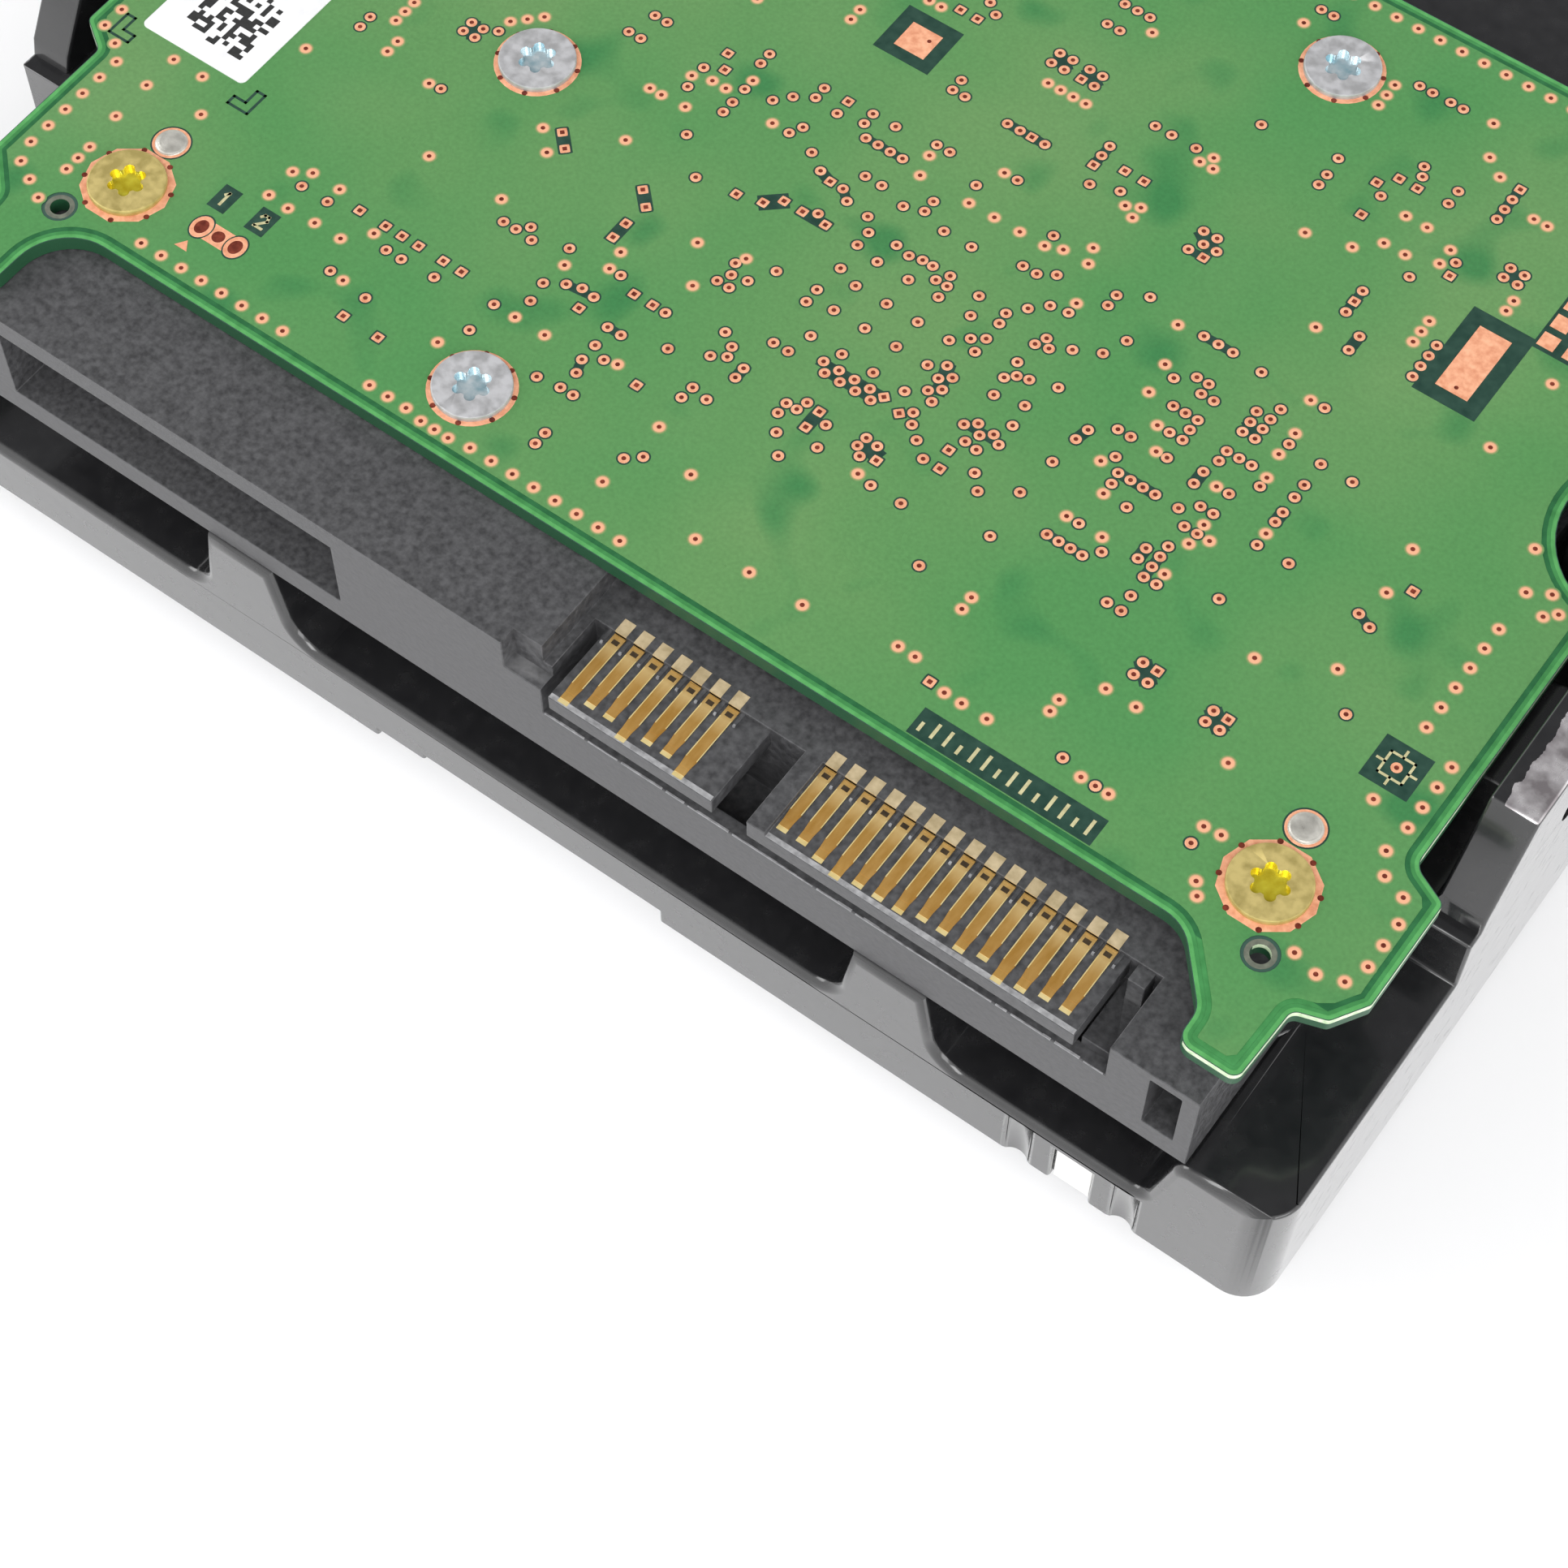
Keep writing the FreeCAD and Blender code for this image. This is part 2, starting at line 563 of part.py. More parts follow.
for a in clamp_screw_angles:
    px, py = polar(clamp_screw_circle, a, 0, spindle_y)
    hub = hub.cut(rod(px, py, 0, hub_top + 4.0, 0.9 + screw_gap))
hub.exportStep("parts/spindle_hub.step")
ring(0, spindle_y, hub_seat + 1.6, bay_ceiling - 1.4, 12.3, 13.7).exportStep(
    "parts/rotor_magnet.step")

disk_nodes = (("lower_disk", lower_disk_z), ("upper_disk", upper_disk_z))
for name, z in disk_nodes:
    ring(0, spindle_y, z, z + disk_thickness, disk_bore_radius, disk_radius).exportStep(
        "parts/%s.step" % name)
spacer = ring(0, spindle_y, lower_disk_z + disk_thickness, upper_disk_z, disk_bore_radius, 15.5)
spacer.exportStep("parts/disk_spacer.step")
clamp_z = hub_top - 1.0
clamp = lathe(0, spindle_y, [(5.0, clamp_z), (15.5, clamp_z), (15.5, lower_disk_z),
                             (13.6, lower_disk_z), (13.6, hub_top), (5.0, hub_top)])
clamp_screws = []
for a in clamp_screw_angles:
    px, py = polar(clamp_screw_circle, a, 0, spindle_y)
    clamp = clamp.cut(rod(px, py, 0, 10, 0.9 + screw_gap))
    clamp_screws.append(downward_screw(px, py, clamp_z, 0.8, 1.7, hub_top + 3.8, 0.9, 0.5))
clamp.exportStep("parts/disk_clamp.step")
group(clamp_screws).exportStep("parts/clamp_screws.step")

# stator: laminated core pressed on the motor post, a coil round each tooth
tooth_count = 9
core_z0, core_z1 = bay_ceiling - 3.6, bay_ceiling - 2.0
core_parts = [ring(0, spindle_y, core_z0, core_z1, 6.5, 7.8)]
coils = []
for k in range(tooth_count):
    a = 360.0 / tooth_count * k
    tooth = box(7.2, 10.8, -0.7, 0.7, core_z0, core_z1)
    tooth.rotate(V(0, 0, 0), V(0, 0, 1), a)
    tooth.translate(V(0, spindle_y, 0))
    core_parts.append(tooth)
    core_parts.append(sector(0, spindle_y, core_z0, core_z1, 10.6, 11.8, a - 15, a + 15))
    coil = box(8.1, 10.3, -1.5, 1.5, core_z0 - 0.8, core_z1 + 0.8)
    coil = coil.cut(box(8.0, 10.4, -0.7, 0.7, core_z0, core_z1))
    coil.rotate(V(0, 0, 0), V(0, 0, 1), a)
    coil.translate(V(0, spindle_y, 0))
    coils.append(coil)
joined(core_parts).exportStep("parts/stator_core.step")
group(coils).exportStep("parts/stator_windings.step")

# ---- actuator: pivot, comb of arms, heads, voice coil ----
low = lower_disk_z - head_gap
high = lower_disk_z + disk_thickness + head_gap
low2 = upper_disk_z - head_gap
high2 = upper_disk_z + disk_thickness + head_gap
slider_zs = [(low - slider_thickness, low), (high, high + slider_thickness),
             (low2 - slider_thickness, low2), (high2, high2 + slider_thickness)]
suspension_zs = [(slider_zs[0][0] - suspension_thickness, slider_zs[0][0]),
                 (slider_zs[1][1], slider_zs[1][1] + suspension_thickness),
                 (slider_zs[2][0] - suspension_thickness, slider_zs[2][0]),
                 (slider_zs[3][1], slider_zs[3][1] + suspension_thickness)]
arm_levels = [(suspension_zs[0][0] - 1.1, suspension_zs[0][0]),
              (suspension_zs[1][1], suspension_zs[2][0]),
              (suspension_zs[3][1], suspension_zs[3][1] + 1.1)]
pivot_shaft = rod(pivot_x, pivot_y, 1.6, skin_height - 1.0, pivot_shaft_radius)
pivot_shaft.exportStep("parts/pivot_shaft.step")
hub_z0, hub_z1 = arm_levels[0][0], arm_levels[2][1]
bearing_outer = 6.0
bearing = ring(pivot_x, pivot_y, hub_z0 - 0.5, hub_z1 + 1.6, pivot_shaft_radius + running_gap,
               bearing_outer)
bearing.exportStep("parts/pivot_bearing.step")

arm_parts = [rod(pivot_x, pivot_y, hub_z0, hub_z1, arm_hub_radius)]
arm_reach = 34.0
for z0, z1 in arm_levels:
    blade = Part.Face(rounded_wire([(0, -6.5, 0), (arm_reach, -3.0, 1.2), (arm_reach, 3.0, 1.2),
                                    (0, 6.5, 0)])).extrude(V(0, 0, z1 - z0))
    blade = blade.cut(Part.makeCylinder(2.1, 9, V(16.0, 0, -1)))
    blade = blade.cut(Part.makeCylinder(1.5, 9, V(23.5, 0, -1)))
    blade.rotate(V(0, 0, 0), V(0, 0, 1), parked_angle)
    blade.translate(V(pivot_x, pivot_y, z0))
    arm_parts.append(blade)
arm = joined(arm_parts)
arm = arm.cut(rod(pivot_x, pivot_y, 0, 30, bearing_outer))

tab_reach = head_radius + 3.5
suspensions, sliders = [], []
for (s0, s1), (p0, p1) in zip(slider_zs, suspension_zs):
    beam = Part.Face(rounded_wire([
        (28.5, -2.6, 0.4), (arm_reach + 1, -2.6, 0.4), (head_radius - 1.5, -0.9, 0.3),
        (head_radius + 1.0, -0.9, 0.2), (tab_reach, -0.4, 0.2), (tab_reach, 0.4, 0.2),
        (head_radius + 1.0, 0.9, 0.2), (head_radius - 1.5, 0.9, 0.3), (arm_reach + 1, 2.6, 0.4),
        (28.5, 2.6, 0.4)])).extrude(V(0, 0, p1 - p0))
    pad = box(head_radius - 0.9, head_radius + 0.4, -0.55, 0.55, 0, s1 - s0)
    for shape, z, store in ((beam, p0, suspensions), (pad, s0, sliders)):
        shape.rotate(V(0, 0, 0), V(0, 0, 1), parked_angle)
        shape.translate(V(pivot_x, pivot_y, z))
        store.append(shape)
group(suspensions).exportStep("parts/head_suspensions.step")
group(sliders).exportStep("parts/head_sliders.step")

coil_angle = parked_angle + 180.0
coil_z0, coil_z1 = 7.6, 11.4
frame_outer = 24.0
frame = sector(pivot_x, pivot_y, coil_z0, coil_z1, arm_hub_radius - 1.5, frame_outer,
               coil_angle - coil_half_angle, coil_angle + coil_half_angle)
coil_outer = sector(pivot_x, pivot_y, coil_z0 + 0.4, coil_z1 + 2, 12.6, 22.8,
                    coil_angle - coil_half_angle + 3.5, coil_angle + coil_half_angle - 3.5)
coil_window = sector(pivot_x, pivot_y, coil_z0 - 1, coil_z1 + 3, 15.6, 20.0,
                     coil_angle - 8.0, coil_angle + 8.0)
coil = coil_outer.common(box(-60, 60, -80, 80, coil_z0 + 0.4, coil_z1 - 0.4)).cut(coil_window)
frame = frame.cut(coil_outer).cut(coil_window)
frame = frame.cut(rod(pivot_x, pivot_y, 0, 30, arm_hub_radius))
arm.exportStep("parts/actuator_arm.step")
coil.exportStep("parts/voice_coil.step")
frame.exportStep("parts/coil_frame.step")

# ---- voice-coil motor: two yoke plates, two magnets, posts and screws ----
swept_low = coil_angle - arm_swing - coil_half_angle
swept_high = coil_angle + coil_half_angle
yoke_start, yoke_end = swept_low - 13.0, swept_high + 13.0
yoke_r0, yoke_r1 = 10.8, 24.6
lower_yoke_z = (2.6, 4.6)
upper_yoke_z = (bay_ceiling - 2.0, bay_ceiling)
magnet_r0, magnet_r1 = 12.2, 23.4
lower_magnet = sector(pivot_x, pivot_y, lower_yoke_z[1], lower_yoke_z[1] + 2.0, magnet_r0,
                      magnet_r1, swept_low + 2, swept_high - 2)
upper_magnet = sector(pivot_x, pivot_y, upper_yoke_z[0] - 2.4, upper_yoke_z[0], magnet_r0,
                      magnet_r1, swept_low + 2, swept_high - 2)
lower_yoke = sector(pivot_x, pivot_y, lower_yoke_z[0], lower_yoke_z[1], yoke_r0, yoke_r1,
                    yoke_start, yoke_end)
upper_yoke = sector(pivot_x, pivot_y, upper_yoke_z[0], upper_yoke_z[1], yoke_r0, yoke_r1,
                    yoke_start, yoke_end)
posts, yoke_screws = [], []
post_places = [polar(19.5, swept_low - 7.2, pivot_x, pivot_y),
               polar(19.5, swept_high + 7.2, pivot_x, pivot_y)]
for px, py in post_places:
    post = ring(px, py, lower_yoke_z[1], upper_yoke_z[0], 1.0, 1.8)
    posts.append(post)
    lower_yoke = lower_yoke.cut(rod(px, py, 0, 10, 1.0))
    yoke_screws.append(downward_screw(px, py, lower_yoke_z[0], 0.9, 2.0, lower_yoke_z[1] + 5, 0.9,
                                      0.5))
lower_magnet.exportStep("parts/lower_magnet.step")
upper_magnet.exportStep("parts/upper_magnet.step")
lower_yoke.exportStep("parts/lower_yoke.step")
upper_yoke.exportStep("parts/upper_yoke.step")
group(posts).exportStep("parts/yoke_posts.step")
group(yoke_screws).exportStep("parts/yoke_screws.step")
stops = [rod(*polar(13.2, swept_low - 8.6, pivot_x, pivot_y), lower_yoke_z[1], upper_yoke_z[0], 1.3),
         rod(*polar(13.2, swept_high + 8.6, pivot_x, pivot_y), lower_yoke_z[1], upper_yoke_z[0],
             1.3)]
group(stops).exportStep("parts/crash_stops.step")

# ---- parking ramp, latch, filters, head cable ----
ramp_start = parked_angle - 6.0
ramp_parts = [sector(pivot_x, pivot_y, 3.4, bay_ceiling, head_radius + 4.2, head_radius + 7.5,
                     parked_angle - 1.5, parked_angle + 7.0)]
ramp_levels = [(suspension_zs[0][1] + 0.1, lower_disk_z - 0.05),
               (lower_disk_z + disk_thickness + 0.05, suspension_zs[1][0] - 0.1),
               (suspension_zs[2][1] + 0.1, upper_disk_z - 0.05),
               (upper_disk_z + disk_thickness + 0.05, suspension_zs[3][0] - 0.1)]
for z0, z1 in ramp_levels:
    ramp_parts.append(sector(pivot_x, pivot_y, z0, z1, head_radius + 1.3, head_radius + 4.6,
                             parked_angle - 1.0, parked_angle + 6.0))
    ramp_parts.append(sector(pivot_x, pivot_y, z0, z1, head_radius + 1.3, head_radius + 3.4,
                             ramp_start, parked_angle + 1.0))
parking_ramp = joined(ramp_parts)
parking_ramp.exportStep("parts/parking_ramp.step")

latch_x, latch_y = 5.0, -50.0
latch_pin = rod(latch_x, latch_y, 4.0, bay_ceiling, 1.2)
latch_pin = latch_pin.fuse(rod(latch_x, latch_y, 3.9, 4.4, 2.0)).removeSplitter()
latch_pin.exportStep("parts/latch_pin.step")
lever = prism([(-6.5, -1.6, 1.2), (4.0, -2.2, 1.0), (12.0, 0.2, 0.6), (12.6, 2.4, 0.5),
               (10.6, 2.2, 0.4), (3.0, 2.2, 1.0), (-6.5, 1.6, 1.2)], 5.0, 8.0)
lever = lever.fuse(rod(0, 0, 4.6, 9.0, 2.8)).removeSplitter()
lever = lever.cut(rod(0, 0, 0, 30, 1.2 + running_gap))
lever.translate(V(latch_x, latch_y, 0))
lever.exportStep("parts/arm_latch.step")
latch_collar = ring(latch_x, latch_y, 9.2, bay_ceiling, 1.2, 2.4)
latch_collar.exportStep("parts/latch_collar.step")

box(-44.6, -40.4, -46.0, -34.0, 6.0, bay_ceiling).exportStep("parts/air_filter.step")
box(-43.0, -33.0, bay_front_y + 1.0, bay_front_y + 6.0, 11.0, bay_ceiling).exportStep(
    "parts/breather_filter.step")
strip_t = 0.2
strip_z0, strip_z1 = 8.6, bay_ceiling - 4.0
outer = slab(-14.0, 9.6, -44.4, -38.4, strip_z0, strip_z1, 2.8)
inner = slab(-14.0 + strip_t, 9.6 - strip_t, -44.4 + strip_t, -38.4 - strip_t, 0, 30, 2.6)
flex = outer.cut(inner).cut(box(-20, -8, -42.0, -30, 0, 30)).cut(box(-20, 4, -39.5, -30, 0, 30))
foot = box(-20.0, -8.0, -44.4, -44.4 + strip_t, strip_z0, strip_z1)
flex = flex.fuse(foot).removeSplitter()
flex.exportStep("parts/head_cable.step")
bracket = box(-19.0, -9.0, -47.0, -44.4, 8.0, bay_ceiling - 4.0)
bracket.exportStep("parts/cable_bracket.step")
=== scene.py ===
import math
import random

import bmesh
import bpy
from mathutils import Matrix, Vector


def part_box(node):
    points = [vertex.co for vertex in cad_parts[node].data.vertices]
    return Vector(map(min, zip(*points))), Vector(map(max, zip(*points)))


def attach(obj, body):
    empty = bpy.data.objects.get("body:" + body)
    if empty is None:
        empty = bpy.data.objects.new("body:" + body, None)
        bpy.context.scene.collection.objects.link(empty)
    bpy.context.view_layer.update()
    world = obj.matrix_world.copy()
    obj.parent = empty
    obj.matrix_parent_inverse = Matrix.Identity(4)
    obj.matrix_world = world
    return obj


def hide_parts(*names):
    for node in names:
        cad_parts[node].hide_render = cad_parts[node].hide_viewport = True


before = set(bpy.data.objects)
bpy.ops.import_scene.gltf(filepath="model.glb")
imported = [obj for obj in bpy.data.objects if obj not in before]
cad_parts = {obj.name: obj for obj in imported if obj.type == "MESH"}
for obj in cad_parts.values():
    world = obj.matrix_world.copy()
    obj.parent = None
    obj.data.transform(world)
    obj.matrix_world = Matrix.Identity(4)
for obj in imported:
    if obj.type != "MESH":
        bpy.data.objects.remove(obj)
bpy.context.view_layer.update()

MM = 0.001

# ---------------------------------------------------------------- stage, camera and light
# A white sweep in a white room, lit by soft panels in front and on both sides. The camera is
# close over the connector corner and looks down across the board.
camera_place = Vector((0.06906, -0.14209, 0.18075))
camera_back = Vector((0.2868, -0.3950, 0.8727)).normalized()
camera_right = Vector((0.8080, 0.5892, 0.0012))
camera_right = (camera_right - camera_back * camera_right.dot(camera_back)).normalized()
camera_up = camera_back.cross(camera_right)
camera_data = bpy.data.cameras.new("camera")
camera_data.sensor_width = 36.0
camera_data.lens = 79.23
camera_data.clip_start = 0.005
camera = bpy.data.objects.new("camera", camera_data)
camera.matrix_world = Matrix.Translation(camera_place) @ Matrix(
    (camera_right, camera_up, camera_back)).transposed().to_4x4()
bpy.context.scene.collection.objects.link(camera)
bpy.context.scene.camera = camera


def link(mesh, name):
    """Puts a mesh in the scene as an object of that name."""
    thing = bpy.data.objects.new(name, mesh)
    bpy.context.scene.collection.objects.link(thing)
    return thing


def plain_shader(name, colour, roughness, metallic=0.0, coat=0.0, coat_roughness=0.1, ior=1.5):
    """A material holding one Principled shader; returns the material, its tree and the shader."""
    material = bpy.data.materials.new(name)
    material.use_nodes = True
    shader = material.node_tree.nodes["Principled BSDF"]
    shader.inputs["Base Color"].default_value = (*colour, 1)
    shader.inputs["Roughness"].default_value = roughness
    shader.inputs["Metallic"].default_value = metallic
    shader.inputs["Coat Weight"].default_value = coat
    shader.inputs["Coat Roughness"].default_value = coat_roughness
    shader.inputs["IOR"].default_value = ior
    return material, material.node_tree, shader


floor_mesh = bpy.data.meshes.new("floor")
floor_mesh.from_pydata([(-3, -3, 0), (3, -3, 0), (3, 3, 0), (-3, 3, 0)], [], [(0, 1, 2, 3)])
floor = link(floor_mesh, "floor")
floor.location.z = -0.0002
floor_mesh.materials.append(plain_shader("white_sweep", (0.97, 0.97, 0.975), 0.7)[0])

# the room is white except for a dim patch high behind the drive, which its level faces mirror
dim_direction = (-0.29, 0.40, 0.87)
world = bpy.data.worlds.new("studio")
bpy.context.scene.world = world
world.use_nodes = True
sky = world.node_tree.nodes["Background"]
sky_place = world.node_tree.nodes.new("ShaderNodeTexCoord")
sky_dot = world.node_tree.nodes.new("ShaderNodeVectorMath")
sky_dot.operation = "DOT_PRODUCT"
sky_dot.inputs[1].default_value = dim_direction
world.node_tree.links.new(sky_place.outputs["Generated"], sky_dot.inputs[0])
sky_ramp = world.node_tree.nodes.new("ShaderNodeValToRGB")
sky_ramp.color_ramp.elements[0].position = 0.55
sky_ramp.color_ramp.elements[0].color = (1, 1, 1, 1)
sky_ramp.color_ramp.elements[1].position = 0.90
sky_ramp.color_ramp.elements[1].color = (0.16, 0.16, 0.165, 1)
world.node_tree.links.new(sky_dot.outputs["Value"], sky_ramp.inputs["Fac"])
world.node_tree.links.new(sky_ramp.outputs["Color"], sky.inputs["Color"])
sky.inputs["Strength"].default_value = 1.25
bpy.context.scene.view_settings.view_transform = "Standard"
bpy.context.scene.view_settings.look = "None"


def panel(name, place, target, width, height, watts):
    """A soft rectangular lamp at a place, facing a target."""
    data = bpy.data.lights.new(name, "AREA")
    data.shape = "RECTANGLE"
    data.size, data.size_y, data.energy = width, height, watts
    lamp = bpy.data.objects.new(name, data)
    lamp.location = place
    lamp.rotation_euler = (Vector(target) - Vector(place)).to_track_quat("-Z", "Y").to_euler()
    bpy.context.scene.collection.objects.link(lamp)


panel("front_panel", (0.35, -0.75, 0.95), (0, 0, 0), 0.7, 0.5, 5.0)
panel("left_panel", (-0.85, -0.20, 0.60), (0, 0, 0), 0.6, 0.5, 3.0)
panel("right_panel", (0.75, -0.35, 0.35), (0.02, -0.05, 0), 0.5, 0.4, 1.6)

# ---------------------------------------------------------------- shared surface effects
# Grain and dust as node groups: each gives a mask that a finish uses with its own values.
# Coordinates are the part's own, in metres.


def group(name, inputs, outputs):
    """Empty node group with float inputs {name: default} and outputs [(name, kind)]."""
    tree = bpy.data.node_groups.new(name, "ShaderNodeTree")
    for label, value in inputs.items():
        socket = tree.interface.new_socket(label, in_out="INPUT", socket_type="NodeSocketFloat")
        socket.default_value = value
    for label, kind in outputs:
        tree.interface.new_socket(label, in_out="OUTPUT", socket_type=kind)
    return tree, tree.nodes.new("NodeGroupInput"), tree.nodes.new("NodeGroupOutput")


def ramp(tree, source, stops):
    """A colour ramp from (place, colour) stops; a colour of one number is a grey."""
    node = tree.nodes.new("ShaderNodeValToRGB")
    while len(node.color_ramp.elements) < len(stops):
        node.color_ramp.elements.new(0.5)
    for element, (place, colour) in zip(node.color_ramp.elements, stops):
        element.position = place
        element.color = (*colour, 1) if len(colour) == 3 else (colour[0],) * 3 + (1,)
    tree.links.new(source, node.inputs["Fac"])
    return node.outputs["Color"]


def use_group(tree, source, **values):
    """The node group placed in a material, with these values on its inputs."""
    node = tree.nodes.new("ShaderNodeGroup")
    node.node_tree = source
    for label, value in values.items():
        node.inputs[label].default_value = value
    return node


def math_node(tree, operation, a, b=None):
    """A sum on numbers or sockets; returns the result's socket."""
    node = tree.nodes.new("ShaderNodeMath")
    node.operation = operation
    for i, value in enumerate((a, b)):
        if value is None:
            continue
        if isinstance(value, (int, float)):
            node.inputs[i].default_value = value
        else:
            tree.links.new(value, node.inputs[i])
    return node.outputs[0]


def mix_colour(tree, factor, a, b, blend="MIX"):
    """Two colours mixed by a factor; each may be a fixed value or a socket."""
    node = tree.nodes.new("ShaderNodeMix")
    node.data_type = "RGBA"
    node.blend_type = blend
    sockets = [s for s in node.inputs if s.enabled]
    for socket, value in zip(sockets, (factor, a, b)):
        if isinstance(value, (int, float)):
            socket.default_value = value
        elif isinstance(value, tuple):
            socket.default_value = (*value, 1)
        else:
            tree.links.new(value, socket)
    return [s for s in node.outputs if s.enabled][0]


grain, g_in, g_out = group("grain", {"Scale": 1000.0, "Detail": 4.0, "Stretch": 1.0},
                           [("Value", "NodeSocketFloat")])
g_place = grain.nodes.new("ShaderNodeTexCoord")
g_map = grain.nodes.new("ShaderNodeMapping")
g_noise = grain.nodes.new("ShaderNodeTexNoise")
g_stretch = grain.nodes.new("ShaderNodeCombineXYZ")
g_stretch.inputs["Y"].default_value = 1.0
g_stretch.inputs["Z"].default_value = 1.0
grain.links.new(g_in.outputs["Stretch"], g_stretch.inputs["X"])
grain.links.new(g_place.outputs["Object"], g_map.inputs["Vector"])
grain.links.new(g_stretch.outputs[0], g_map.inputs["Scale"])
grain.links.new(g_map.outputs[0], g_noise.inputs["Vector"])
grain.links.new(g_in.outputs["Scale"], g_noise.inputs["Scale"])
grain.links.new(g_in.outputs["Detail"], g_noise.inputs["Detail"])
grain.links.new(g_noise.outputs["Fac"], g_out.inputs["Value"])

dust, d_in, d_out = group("dust_specks", {"Scale": 400.0, "Amount": 0.05},
                          [("Mask", "NodeSocketFloat")])
d_place = dust.nodes.new("ShaderNodeTexCoord")
d_cells = dust.nodes.new("ShaderNodeTexVoronoi")
dust.links.new(d_place.outputs["Object"], d_cells.inputs["Vector"])
dust.links.new(d_in.outputs["Scale"], d_cells.inputs["Scale"])
d_pick = dust.nodes.new("ShaderNodeSeparateColor")
dust.links.new(d_cells.outputs["Color"], d_pick.inputs[0])
d_chosen = math_node(dust, "LESS_THAN", d_pick.outputs[0], d_in.outputs["Amount"])
d_small = math_node(dust, "LESS_THAN", d_cells.outputs["Distance"], 0.11)
dust.links.new(math_node(dust, "MULTIPLY", d_chosen, d_small), d_out.inputs["Mask"])


def add_bump(tree, shader, height, strength, distance):
    """Fine relief on a finish, from a height mask."""
    bump = tree.nodes.new("ShaderNodeBump")
    bump.inputs["Strength"].default_value = strength
    bump.inputs["Distance"].default_value = distance
    tree.links.new(height, bump.inputs["Height"])
    tree.links.new(bump.outputs["Normal"], shader.inputs["Normal"])


def textured(name, dark, light, scale, rough_low, rough_high, metallic=0.0, bump=0.0, detail=4.0,
             stretch=1.0, coat=0.0, specks=0.0, contrast=0.25):
    """A finish whose colour and roughness wander with the grain, with optional bump and dust."""
    material, tree, shader = plain_shader(name, light, rough_high, metallic, coat)
    noise = use_group(tree, grain, Scale=scale, Detail=detail, Stretch=stretch)
    low, high = 0.5 - contrast, 0.5 + contrast
    colour = ramp(tree, noise.outputs[0], [(low, dark), (high, light)])
    if specks:
        flecks = use_group(tree, dust, Scale=420.0, Amount=specks)
        colour = mix_colour(tree, flecks.outputs[0], colour, (0.35, 0.34, 0.33))
    tree.links.new(colour, shader.inputs["Base Color"])
    rough = ramp(tree, noise.outputs[0], [(low, (rough_low,)), (high, (rough_high,))])
    tree.links.new(rough, shader.inputs["Roughness"])
    if bump:
        add_bump(tree, shader, noise.outputs[0], 0.6, bump)
    return material


def dress(material, *names):
    """Gives CAD nodes this finish."""
    for name in names:
        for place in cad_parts[name].material_slots:
            place.material = material


def baked(thing, name):
    """The object's mesh with its modifier applied; the object itself goes."""
    bpy.context.view_layer.update()
    seen = thing.evaluated_get(bpy.context.evaluated_depsgraph_get())
    mesh = bpy.data.meshes.new_from_object(seen)
    mesh.name = name
    bpy.data.objects.remove(thing)
    return mesh


def softened(node, name, width, material, segments=2):
    """A copy of a CAD node with its sharp edges rounded; it stands for that node.
    Outer and inner edges shorter than two limits (mm) stay sharp."""
    corner, crease = math.radians(40), math.radians(30)
    shortest_outer, shortest_inner = 0.25, 4.0
    mesh = bpy.data.meshes.new(name)
    bm = bmesh.new()
    bm.from_mesh(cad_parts[node].data)
    bmesh.ops.remove_doubles(bm, verts=bm.verts, dist=2e-6)
    bmesh.ops.dissolve_limit(bm, angle_limit=math.radians(0.4), verts=bm.verts, edges=bm.edges)
    weight = bm.edges.layers.float.new("bevel_weight_edge")
    for edge in bm.edges:
        if not edge.is_manifold or edge.calc_face_angle() < corner:
            continue
        limit = shortest_outer if edge.is_convex else shortest_inner
        if edge.calc_length() > limit * MM:
            edge[weight] = 1.0
    bm.to_mesh(mesh)
    bm.free()
    rough = link(mesh, name + "_blank")
    bevel = rough.modifiers.new("edges", "BEVEL")
    bevel.width = width * MM
    bevel.segments = segments
    bevel.limit_method = "WEIGHT"
    bevel.use_clamp_overlap = False
    bevel.miter_outer = "MITER_ARC"
    rounded = baked(rough, name + "_rounded")
    rounded.materials.clear()
    rounded.materials.append(material)
    for face in rounded.polygons:
        face.use_smooth = True
    rounded.set_sharp_from_angle(angle=crease)
    # large flat faces keep flat shading beside their rounded edges
    smooth = link(rounded, name + "_smooth")
    smooth.modifiers.new("flat_faces", "WEIGHTED_NORMAL").keep_sharp = True
    piece = link(baked(smooth, name), name)
    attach(piece, "drive")
    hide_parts(node)
    return piece


# ---------------------------------------------------------------- base casting
# The die-cast aluminium shell that everything bolts to, dipped in glossy black coating. Its
# edges are rounded by the die, and the coating has a faint orange-peel skin with dust on it.
black_coat = textured("black_coat", (0.010, 0.010, 0.011), (0.018, 0.018, 0.019), 900.0,
                      0.20, 0.30, bump=0.00002, specks=0.008, coat=1.0)
# After coating, the tops of the side rails are milled to one height, so a strip of rough
# bare aluminium runs along each rail beside the board.
rail_top, pad_inner, pad_front = 0.02602, 0.0492, -0.0515
pad_wander = 0.0010
k_tree = black_coat.node_tree
k_shader = k_tree.nodes["Principled BSDF"]
k_place = k_tree.nodes.new("ShaderNodeTexCoord")
k_where = k_tree.nodes.new("ShaderNodeSeparateXYZ")
k_tree.links.new(k_place.outputs["Object"], k_where.inputs[0])
k_worn = use_group(k_tree, grain, Scale=900.0, Detail=8.0)
k_edge = math_node(k_tree, "ADD", math_node(k_tree, "ABSOLUTE", k_where.outputs[0]),
                   math_node(k_tree, "MULTIPLY", k_worn.outputs[0], pad_wander))
k_level = math_node(k_tree, "GREATER_THAN", k_where.outputs[2], rail_top)
